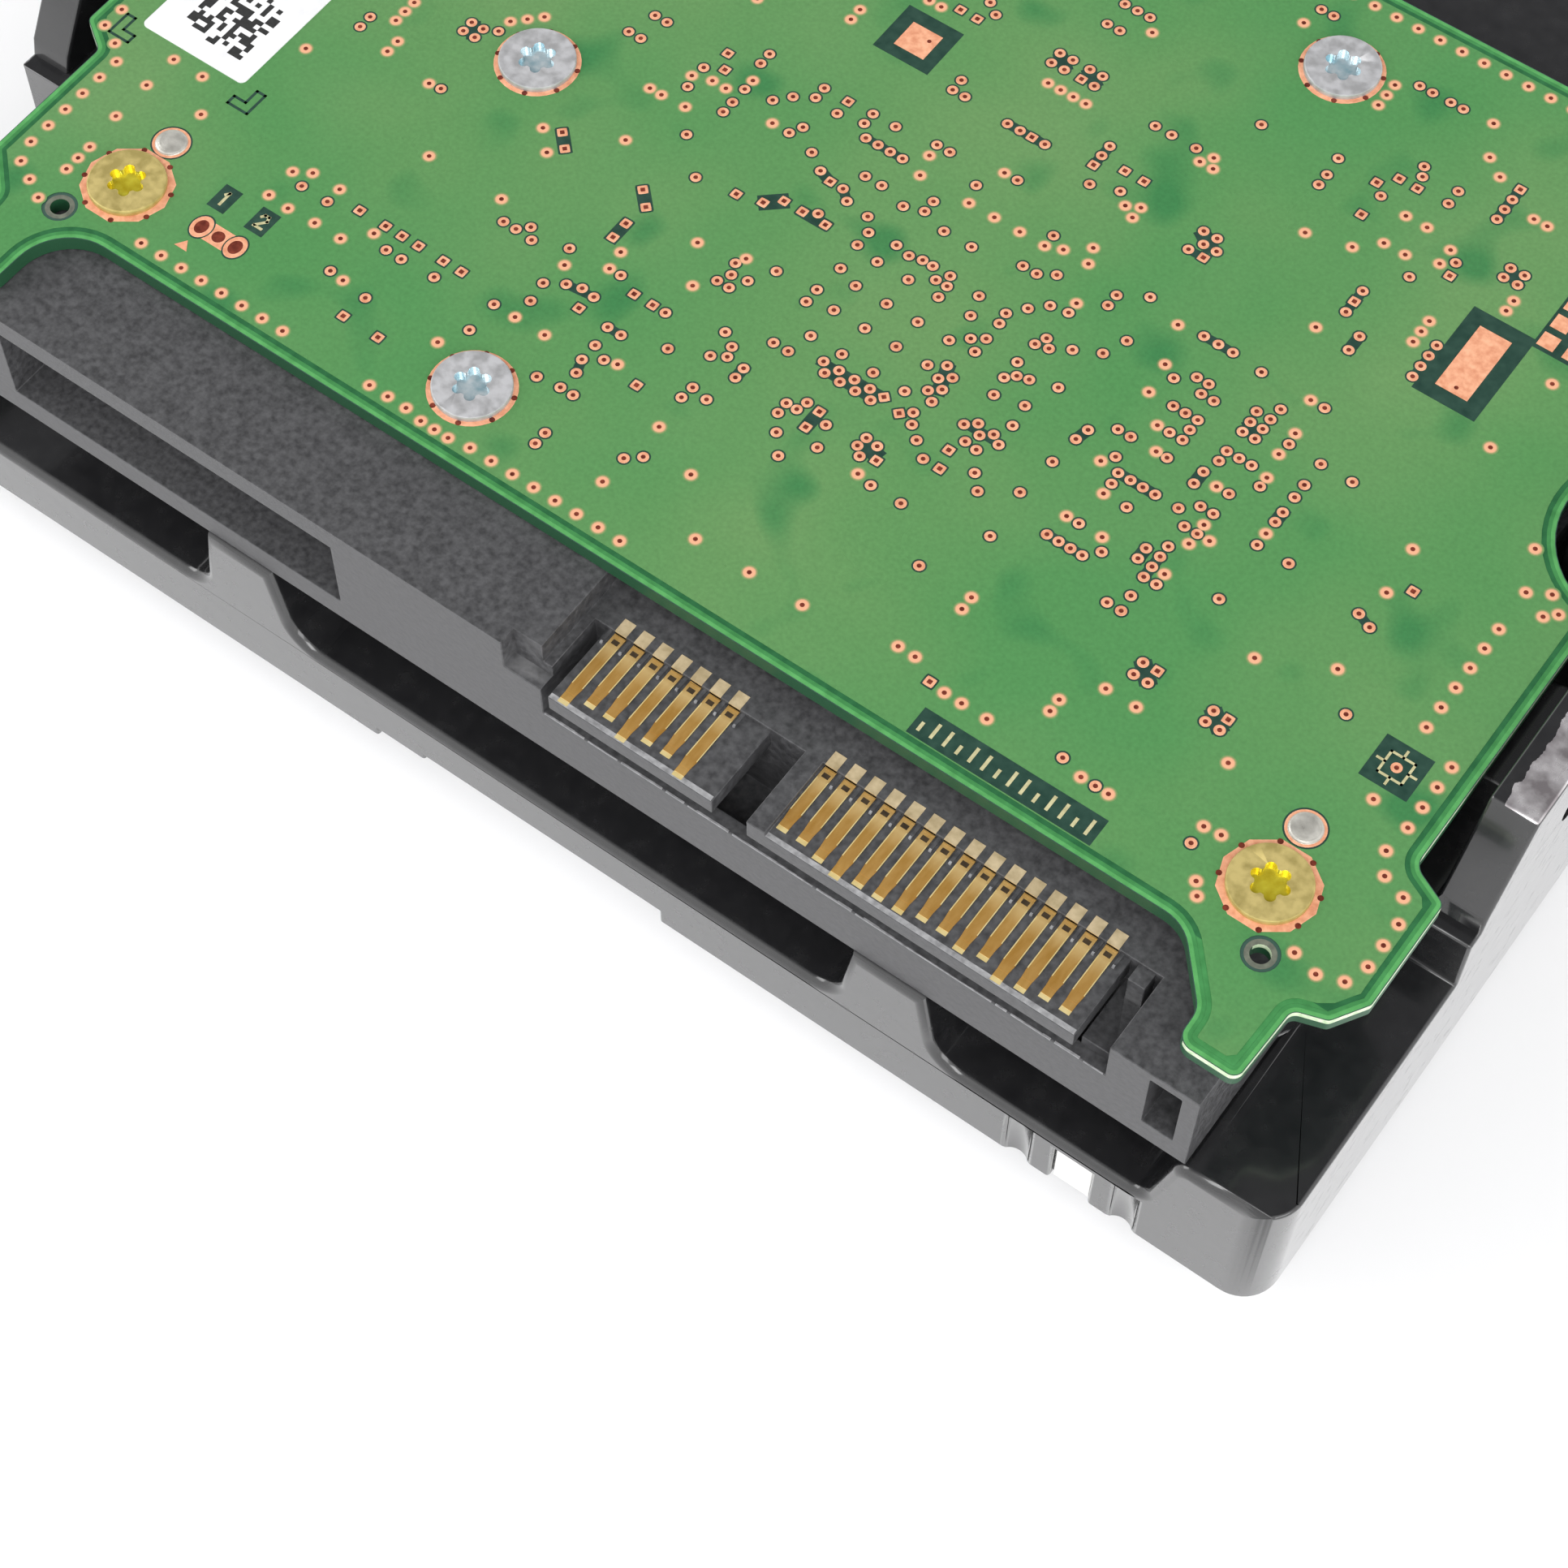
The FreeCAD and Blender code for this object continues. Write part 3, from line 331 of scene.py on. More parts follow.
k_side = math_node(k_tree, "GREATER_THAN", k_edge, pad_inner)
k_behind = math_node(k_tree, "GREATER_THAN", k_where.outputs[1], pad_front)
k_bare = math_node(k_tree, "MULTIPLY", k_level, math_node(k_tree, "MULTIPLY", k_side, k_behind))
k_metal = ramp(k_tree, k_worn.outputs[0], [(0.35, (0.34, 0.31, 0.32)), (0.65, (0.78, 0.75, 0.76))])
k_black = k_shader.inputs["Base Color"].links[0].from_socket
k_tree.links.new(mix_colour(k_tree, k_bare, k_black, k_metal), k_shader.inputs["Base Color"])
k_tree.links.new(math_node(k_tree, "MULTIPLY", k_bare, 0.7), k_shader.inputs["Metallic"])
k_tree.links.new(math_node(k_tree, "SUBTRACT", 1.0, k_bare), k_shader.inputs["Coat Weight"])
softened("base_casting", "casting_shell", 0.22, black_coat, 3)

# the gasket squeezed between casting and cover: black foamed rubber
dress(textured("gasket_rubber", (0.02, 0.02, 0.02), (0.05, 0.05, 0.05), 3000.0, 0.75, 0.95,
               bump=0.00003), "cover_gasket")

# ---------------------------------------------------------------- cover, label and its screws
# The drawn steel lid underneath, brushed along its length, with a blank paper label.
cover_steel = textured("cover_steel", (0.42, 0.42, 0.43), (0.62, 0.62, 0.63), 500.0, 0.28, 0.42,
                       metallic=1.0, bump=0.00001, stretch=12.0, detail=6.0)
softened("top_cover", "lid", 0.18, cover_steel)
paper = textured("label_paper", (0.84, 0.84, 0.82), (0.92, 0.92, 0.90), 2500.0, 0.5, 0.65,
                 bump=0.00001)
dress(paper, "cover_label", "wall_seal")
dark_steel = textured("blackened_steel", (0.16, 0.16, 0.17), (0.30, 0.30, 0.31), 2200.0, 0.3, 0.45,
                      metallic=1.0, bump=0.00001)
dress(dark_steel, "cover_screws", "clamp_screws", "yoke_screws")

# ---------------------------------------------------------------- connector housing
# One black glass-filled nylon moulding: mottled grey where the fibres show. A paler nylon on some
# edges stands for wear and a painted highlight.
nylon = textured("glass_filled_nylon", (0.040, 0.040, 0.042), (0.088, 0.088, 0.092), 2600.0,
                 0.36, 0.52, bump=0.00003, detail=12.0, contrast=0.20)
softened("connector_housing", "plug_housing", 0.07, nylon)
# a paler nylon for edges: wear, and a painted highlight
nylon_wear_and_highlight = textured("nylon_wear_and_highlight", (0.16, 0.16, 0.165), (0.42, 0.42, 0.43), 2400.0,
                        0.35, 0.5, bump=0.00004, detail=10.0)

# ---------------------------------------------------------------- inside pieces
# Motor, disks, heads, latch, filters and the chips under the board keep their CAD shapes. Each
# gets the finish of its own stock: ground steel, plated magnets, enamelled wire, resin, felt.
dress(textured("plated_magnet", (0.55, 0.54, 0.52), (0.74, 0.73, 0.70), 700.0, 0.16, 0.3,
               metallic=1.0, bump=0.00001), "lower_magnet", "upper_magnet", "rotor_magnet",
      "lower_yoke", "upper_yoke")
dress(textured("ground_steel", (0.50, 0.50, 0.52), (0.70, 0.70, 0.72), 1600.0, 0.18, 0.32,
               metallic=1.0, stretch=0.2), "spindle_shaft", "pivot_shaft", "pivot_bearing",
      "yoke_posts", "latch_pin", "cable_bracket", "head_suspensions")
dress(textured("machined_aluminium", (0.66, 0.66, 0.68), (0.86, 0.86, 0.88), 2400.0, 0.22, 0.36,
               metallic=1.0), "spindle_hub", "disk_spacer", "disk_clamp", "actuator_arm")
dress(textured("polished_disk", (0.78, 0.78, 0.80), (0.88, 0.88, 0.90), 40.0, 0.03, 0.06,
               metallic=1.0), "lower_disk", "upper_disk")
dress(textured("enamelled_copper", (0.45, 0.16, 0.06), (0.78, 0.36, 0.17), 3000.0, 0.25, 0.4,
               metallic=0.9, bump=0.00004, stretch=6.0), "voice_coil", "stator_windings")
dress(textured("lamination_steel", (0.16, 0.16, 0.17), (0.34, 0.34, 0.36), 2600.0, 0.35, 0.5,
               metallic=1.0), "stator_core")
dress(textured("black_resin", (0.015, 0.015, 0.016), (0.04, 0.04, 0.042), 2200.0, 0.45, 0.62,
               bump=0.00002), "coil_frame", "head_connector", "motor_contacts", "latch_collar",
      "arm_latch")
dress(textured("chip_resin", (0.012, 0.012, 0.013), (0.035, 0.035, 0.036), 3200.0, 0.5, 0.7,
               bump=0.00002), "controller_chip", "memory_chip", "motor_driver_chip")
dress(textured("fired_ceramic", (0.28, 0.19, 0.12), (0.55, 0.42, 0.30), 2600.0, 0.35, 0.5),
      "board_components", "head_sliders")
dress(textured("open_foam", (0.015, 0.015, 0.016), (0.075, 0.075, 0.078), 2600.0, 0.85, 1.0,
               bump=0.0002, detail=8.0), "foam_pad")
dress(textured("amber_film", (0.42, 0.17, 0.03), (0.66, 0.33, 0.08), 300.0, 0.2, 0.35),
      "motor_flex", "head_cable")
dress(textured("stop_rubber", (0.02, 0.02, 0.02), (0.05, 0.05, 0.05), 3000.0, 0.7, 0.9),
      "crash_stops")
dress(textured("white_acetal", (0.72, 0.71, 0.67), (0.86, 0.85, 0.81), 900.0, 0.3, 0.45),
      "parking_ramp")
dress(textured("filter_felt", (0.62, 0.62, 0.60), (0.90, 0.90, 0.88), 4000.0, 0.85, 1.0,
               bump=0.0001), "air_filter", "breather_filter")

# ---------------------------------------------------------------- circuit board
# A one-millimetre glass-epoxy board, cream at the rim where it was snapped from its panel; the cream
# is painted only along the top of the cut walls, partly as a painted highlight on the rounded edge.
# The top has green solder mask over a copper plane that stops short of the edge, so the rim is a
# darker green; its bands are painted lighter at the outer edge and darker inside, as the painted
# highlight and shade of a rounded mask bead.
board_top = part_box("circuit_board")[1].z
cream_rim, snapped_left, snapped_right = 0.38 * MM, -0.0385, 0.0425
laminate, l_tree, l_shader = plain_shader("glass_epoxy", (0.55, 0.68, 0.45), 0.45)
l_up = l_tree.nodes.new("ShaderNodeNewGeometry")
l_split = l_tree.nodes.new("ShaderNodeSeparateXYZ")
l_tree.links.new(l_up.outputs["Normal"], l_split.inputs[0])
l_flat = math_node(l_tree, "GREATER_THAN", math_node(l_tree, "ABSOLUTE", l_split.outputs[2]), 0.7)
l_noise = use_group(l_tree, grain, Scale=2600.0, Detail=5.0)
l_edge = ramp(l_tree, l_noise.outputs[0], [(0.3, (0.44, 0.62, 0.36)), (0.7, (0.74, 0.80, 0.62))])
l_place = l_tree.nodes.new("ShaderNodeTexCoord")
l_where = l_tree.nodes.new("ShaderNodeSeparateXYZ")
l_tree.links.new(l_place.outputs["Object"], l_where.inputs[0])
# cream only at the top of the cut walls on the snapped ears: laminate colour, partly a painted highlight
# on the rounded edge
l_lip = math_node(l_tree, "GREATER_THAN", l_where.outputs[2], board_top - cream_rim)
l_right = math_node(l_tree, "GREATER_THAN", l_where.outputs[0], snapped_right)
l_left = math_node(l_tree, "LESS_THAN", l_where.outputs[0], snapped_left)
l_snapped_and_lit = math_node(l_tree, "MULTIPLY", l_lip, math_node(l_tree, "MAXIMUM", l_right, l_left))
l_wall = mix_colour(l_tree, l_snapped_and_lit, (0.014, 0.075, 0.032), l_edge)
l_tree.links.new(mix_colour(l_tree, l_flat, l_wall, (0.035, 0.085, 0.065)),
                 l_shader.inputs["Base Color"])
add_bump(l_tree, l_shader, l_noise.outputs[0], 0.5, 0.00002)
dress(laminate, "circuit_board")

mask_green, _, m_out = group("solder_mask_green", {},
                             [("Color", "NodeSocketColor"), ("Bump", "NodeSocketFloat")])
m_wide = use_group(mask_green, grain, Scale=55.0, Detail=2.0)
m_patch = use_group(mask_green, grain, Scale=190.0, Detail=1.0)
m_fine = use_group(mask_green, grain, Scale=4200.0, Detail=3.0)
m_base = ramp(mask_green, m_wide.outputs[0],
              [(0.34, (0.078, 0.250, 0.080)), (0.66, (0.128, 0.272, 0.098))])
# darker green patches at random over the mask
m_dark_patches = ramp(mask_green, m_patch.outputs[0], [(0.26, (0.15,)), (0.40, (1.0,))])
m_blotch = mix_colour(mask_green, m_dark_patches, (0.038, 0.190, 0.062), m_base)
m_speck = ramp(mask_green, m_fine.outputs[0], [(0.25, (0.90,)), (0.75, (1.10,))])
m_all = mix_colour(mask_green, 1.0, m_blotch, m_speck, "MULTIPLY")
mask_green.links.new(m_all, m_out.inputs["Color"])
mask_green.links.new(m_fine.outputs[0], m_out.inputs["Bump"])


def outline_of(node, level):
    """The outer edge of a flat plate's top face, as one ordered loop of (x, y)."""
    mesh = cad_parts[node].data
    bm = bmesh.new()
    bm.from_mesh(mesh)
    bmesh.ops.remove_doubles(bm, verts=bm.verts, dist=2e-6)
    flat = {f for f in bm.faces if all(abs(v.co.z - level) < 1e-5 for v in f.verts)}
    rim = [e for e in bm.edges if sum(f in flat for f in e.link_faces) == 1]
    ahead = {}
    for e in rim:
        for a, b in (e.verts, reversed(e.verts)):
            ahead.setdefault(a, []).append(b)
    loops, seen = [], set()
    for start in ahead:
        if start in seen:
            continue
        loop, here, before = [], start, None
        while here not in seen:
            seen.add(here)
            loop.append(Vector((here.co.x, here.co.y)))
            nexts = [v for v in ahead[here] if v != before]
            before, here = here, nexts[0]
        loops.append(loop)
    bm.free()
    longest = max(loops, key=lambda l: max(p.x for p in l) - min(p.x for p in l))
    area = sum(a.x * b.y - b.x * a.y for a, b in zip(longest, longest[1:] + longest[:1]))
    return longest if area > 0 else longest[::-1]


def inset(loop, distance, step=0.5 * MM):
    """The loop moved inwards, with the stretches that small corners swallow left out."""
    dense = []
    for a, b in zip(loop, loop[1:] + loop[:1]):
        count = max(1, int((b - a).length / step))
        dense += [a.lerp(b, k / count) for k in range(count)]
    moved = []
    for i, p in enumerate(dense):
        along = (dense[(i + 1) % len(dense)] - dense[i - 1]).normalized()
        moved.append(p + Vector((-along.y, along.x)) * distance)

    def clear(q):
        for a, b in zip(loop, loop[1:] + loop[:1]):
            span = b - a
            t = max(0.0, min(1.0, (q - a).dot(span) / max(span.length_squared, 1e-12)))
            if (q - a - span * t).length < distance * 0.97:
                return False
        return True
    return [q for q in moved if clear(q)]


def settle(bm, name, materials):
    """The drawn shape as a piece that is fixed to the drive."""
    mesh = bpy.data.meshes.new(name)
    bm.to_mesh(mesh)
    bm.free()
    for material in materials:
        mesh.materials.append(material)
    piece = link(mesh, name)
    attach(piece, "drive")
    return piece


def plate_with_holes(name, outer, holes, z0, z1, material):
    """A thin closed plate over a loop, with round holes."""
    bm = bmesh.new()
    top_edges, walls = [], []
    for loop in [outer] + holes:
        low = [bm.verts.new((p.x, p.y, z0)) for p in loop]
        high = [bm.verts.new((p.x, p.y, z1)) for p in loop]
        walls.append((low, high))
        for ring in (low, high):
            for a, b in zip(ring, ring[1:] + ring[:1]):
                top_edges.append(bm.edges.new((a, b)))
    flat = [e for e in top_edges if e.verts[0].co.z > (z0 + z1) / 2]
    bmesh.ops.triangle_fill(bm, use_beauty=True, edges=flat)
    base = [e for e in top_edges if e.verts[0].co.z < (z0 + z1) / 2]
    bmesh.ops.triangle_fill(bm, use_beauty=True, edges=base)
    for low, high in walls:
        count = len(low)
        for i in range(count):
            j = (i + 1) % count
            bm.faces.new((low[i], low[j], high[j], high[i]))
    bmesh.ops.recalc_face_normals(bm, faces=bm.faces)
    settle(bm, name, [material])


def circle(x, y, radius, count=24):
    """Points round a circle given in mm."""
    turn = 2 * math.pi / count
    return [Vector(((x + radius * math.cos(turn * k)) * MM, (y + radius * math.sin(turn * k)) * MM))
            for k in range(count)]


tooling_places = [(-37.6, -65.55), (43.05, -65.45)]
tooling_ring = 1.05
edge_loop = outline_of("circuit_board", board_top)

# mask rim bands: darker green where no copper lies beneath; the outer band is painted lighter as a
# highlight and the inner ones darker as painted shade of the rounded bead
rim_greens_and_bead_light = [("outer", 0.05, (0.075, 0.300, 0.085), (0.110, 0.400, 0.120)),
              ("middle", 0.28, (0.040, 0.200, 0.055), (0.060, 0.270, 0.080)),
              ("inner", 0.50, (0.014, 0.105, 0.034), (0.026, 0.150, 0.050))]
plane_mask, p_tree, p_shader = plain_shader("mask_over_copper", (0.14, 0.37, 0.14), 0.32, ior=1.4)
p_green = use_group(p_tree, mask_green)
p_tree.links.new(p_green.outputs["Color"], p_shader.inputs["Base Color"])
p_rough = use_group(p_tree, grain, Scale=130.0, Detail=3.0)
p_tree.links.new(ramp(p_tree, p_rough.outputs[0], [(0.3, (0.26,)), (0.7, (0.40,))]),
                 p_shader.inputs["Roughness"])
add_bump(p_tree, p_shader, p_green.outputs["Bump"], 0.35, 0.000015)

tooling_holes = [circle(x, y, tooling_ring) for x, y in tooling_places]
for step, (name, distance, dark, light) in enumerate(rim_greens_and_bead_light):
    band, r_tree, r_shader = plain_shader("mask_rim_" + name, light, 0.28, coat=0.25)
    r_noise = use_group(r_tree, grain, Scale=1600.0, Detail=3.0)
    r_tree.links.new(ramp(r_tree, r_noise.outputs[0], [(0.3, dark), (0.7, light)]),
                     r_shader.inputs["Base Color"])
    add_bump(r_tree, r_shader, r_noise.outputs[0], 0.3, 0.00001)
    plate_with_holes("mask_rim_" + name, inset(edge_loop, distance * MM), tooling_holes,
                     board_top - 0.02 * MM, board_top + (0.012 + 0.008 * step) * MM, band)
plane_inset = 0.78 * MM
mask_top = board_top + 0.045 * MM
plate_with_holes("mask_field", inset(edge_loop, plane_inset), tooling_holes,
                 board_top - 0.01 * MM, mask_top, plane_mask)

# ---------------------------------------------------------------- plated holes in the board
# Small drilled holes with copper walls carry the circuits through the board. Some lie under
# the mask and glow salmon through it; others stand in a dark opening with a bare copper ring.


def places(*runs):
    """Spots in mm: (x, y) for one, (x, y, dx, dy, count) for an even row."""
    spots = []
    for run in runs:
        x, y, dx, dy, count = run if len(run) == 5 else (*run, 0, 0, 1)
        spots += [(x + dx * k, y + dy * k) for k in range(count)]
    return spots


stitched = places(
    # along the front edge, either side of the middle screw
    (-32.1, -64.8, 1.49, 0, 8), (-15.4, -64.8, 1.3, 0, 3), (-11.6, -65.0, 0.96, 0, 3),
    (-8.3, -64.8, 1.47, 0, 8),
    # round the left edge, then up it
    (-39.0, -65.8), (-40.3, -65.1), (-41.6, -64.4), (-42.1, -55.6, 0, -1.48, 6), (-43.1, -54.6),
    (-44.5, -53.9, 0, 1.49, 30), (-39.1, -61.3, 0, -1.0, 3),
    # round the right-hand ear, then up the right edge
    (44.4, -64.4), (45.9, -64.8), (47.3, -64.3), (47.8, -62.9, 0, 1.48, 3), (47.2, -58.5),
    (45.8, -58.0), (45.1, -56.7), (45.3, -54.9, 0, 1.47, 4), (43.0, -54.5),
    (43.0, -49.2, 0, 1.49, 6), (43.0, -38.9), (44.5, -39.7), (45.1, -39.1), (44.2, -38.2),
    (42.0, -36.2), (41.6, -28.9), (43.6, -26.3), (45.3, -24.6, 0, 1.49, 10),
    # along the rear edge
    (-43.0, -8.5, 1.49, 0, 59))

masked = places(
    # left of the middle
    (-33.8, -48.3), (-39.5, -53.5, 2.2, 0, 2), (-39.5, -55.9), (-35.5, -55.7), (-39.4, -58.7),
    (-22.9, -50.3), (-17.6, -50.3), (-28.5, -55.8), (-27.5, -55.2), (-25.5, -55.2),
    (-28.5, -57.9), (-27.0, -58.0), (-25.1, -57.9), (-23.2, -57.9), (-21.9, -56.5),
    (-21.2, -60.1), (-14.2, -60.3), (-30.9, -41.8, 0, -0.86, 3), (-29.8, -44.7, 0, -0.95, 2),
    (-26.3, -46.1), (-25.4, -39.6, 0.7, 0.73, 3), (-18.9, -44.8), (-17.6, -46.1),
    (-14.7, -29.6), (-9.3, -26.7, 0, -0.93, 2), (-15.7, -38.8, 0.84, 0, 2), (-13.2, -38.7),
    (-14.5, -42.7), (-11.2, -34.8), (-14.3, -36.6), (-13.1, -36.2, 0.98, 0, 2), (-8.4, -36.7),
    # middle
    (-6.7, -46.2), (-5.1, -48.8), (-9.8, -49.3), (-9.6, -50.6), (-11.8, -51.9), (-11.8, -56.4),
    (-9.7, -56.4), (-5.2, -55.6), (-0.8, -57.6), (2.5, -59.1), (-1.1, -62.3), (-3.8, -45.5),
    (5.2, -62.3), (8.8, -62.3), (12.3, -62.3), (0.3, -33.3), (0.7, -34.8), (4.5, -31.8),
    (4.1, -34.8, 1.75, 0, 3), (9.3, -34.8), (10.3, -34.4), (12.0, -34.4), (11.6, -33.3),
    (13.0, -37.1), (9.8, -53.7), (5.6, -18.0), (-6.4, -23.7, 0.85, 0, 2),
    (2.8, -24.8, 0.88, 0, 4), (13.6, -23.8), (13.1, -24.5, 0.9, 0, 2), (12.2, -29.3, 0, -0.88, 2),
    (11.4, -29.7), (12.4, -12.1),
    # right of the middle
    (19.3, -56.6, 0, -0.9, 2), (17.9, -61.4), (19.0, -61.4), (21.5, -62.3), (22.6, -62.3),
    (24.2, -62.3), (30.1, -62.3), (31.8, -62.3), (26.6, -59.1, 0, -0.86, 2), (28.2, -57.1),
    (30.1, -57.1), (35.8, -57.1), (33.5, -50.9), (37.4, -48.9), (36.8, -61.0), (37.8, -60.9),
    (38.2, -63.9), (38.7, -64.6), (21.3, -46.9), (20.5, -49.3), (22.8, -49.3), (26.8, -49.3),
    (26.8, -46.9), (26.8, -45.4), (27.6, -46.1), (20.0, -45.2), (22.1, -42.9), (26.0, -42.9),
    (21.2, -41.4), (19.6, -39.8), (19.3, -37.7), (27.6, -37.4), (27.6, -39.1), (27.9, -40.8),
    (29.8, -43.9), (36.7, -40.1), (37.0, -43.3), (36.7, -31.9), (18.4, -35.0), (27.1, -35.0),
    (24.7, -30.6), (29.6, -26.5, 0, -0.88, 3), (32.7, -22.5, 0, -0.85, 2), (37.3, -26.2),
    (20.7, -25.3), (23.4, -24.6), (24.7, -20.9, 1.4, 0, 2), (24.7, -23.3, 1.4, 0, 2),
    (28.0, -21.5), (28.0, -22.7), (19.2, -13.0, 0, -0.93, 3), (25.3, -12.1), (26.4, -14.4),
    (27.6, -15.3), (30.7, -16.8, 0.87, 0, 2))

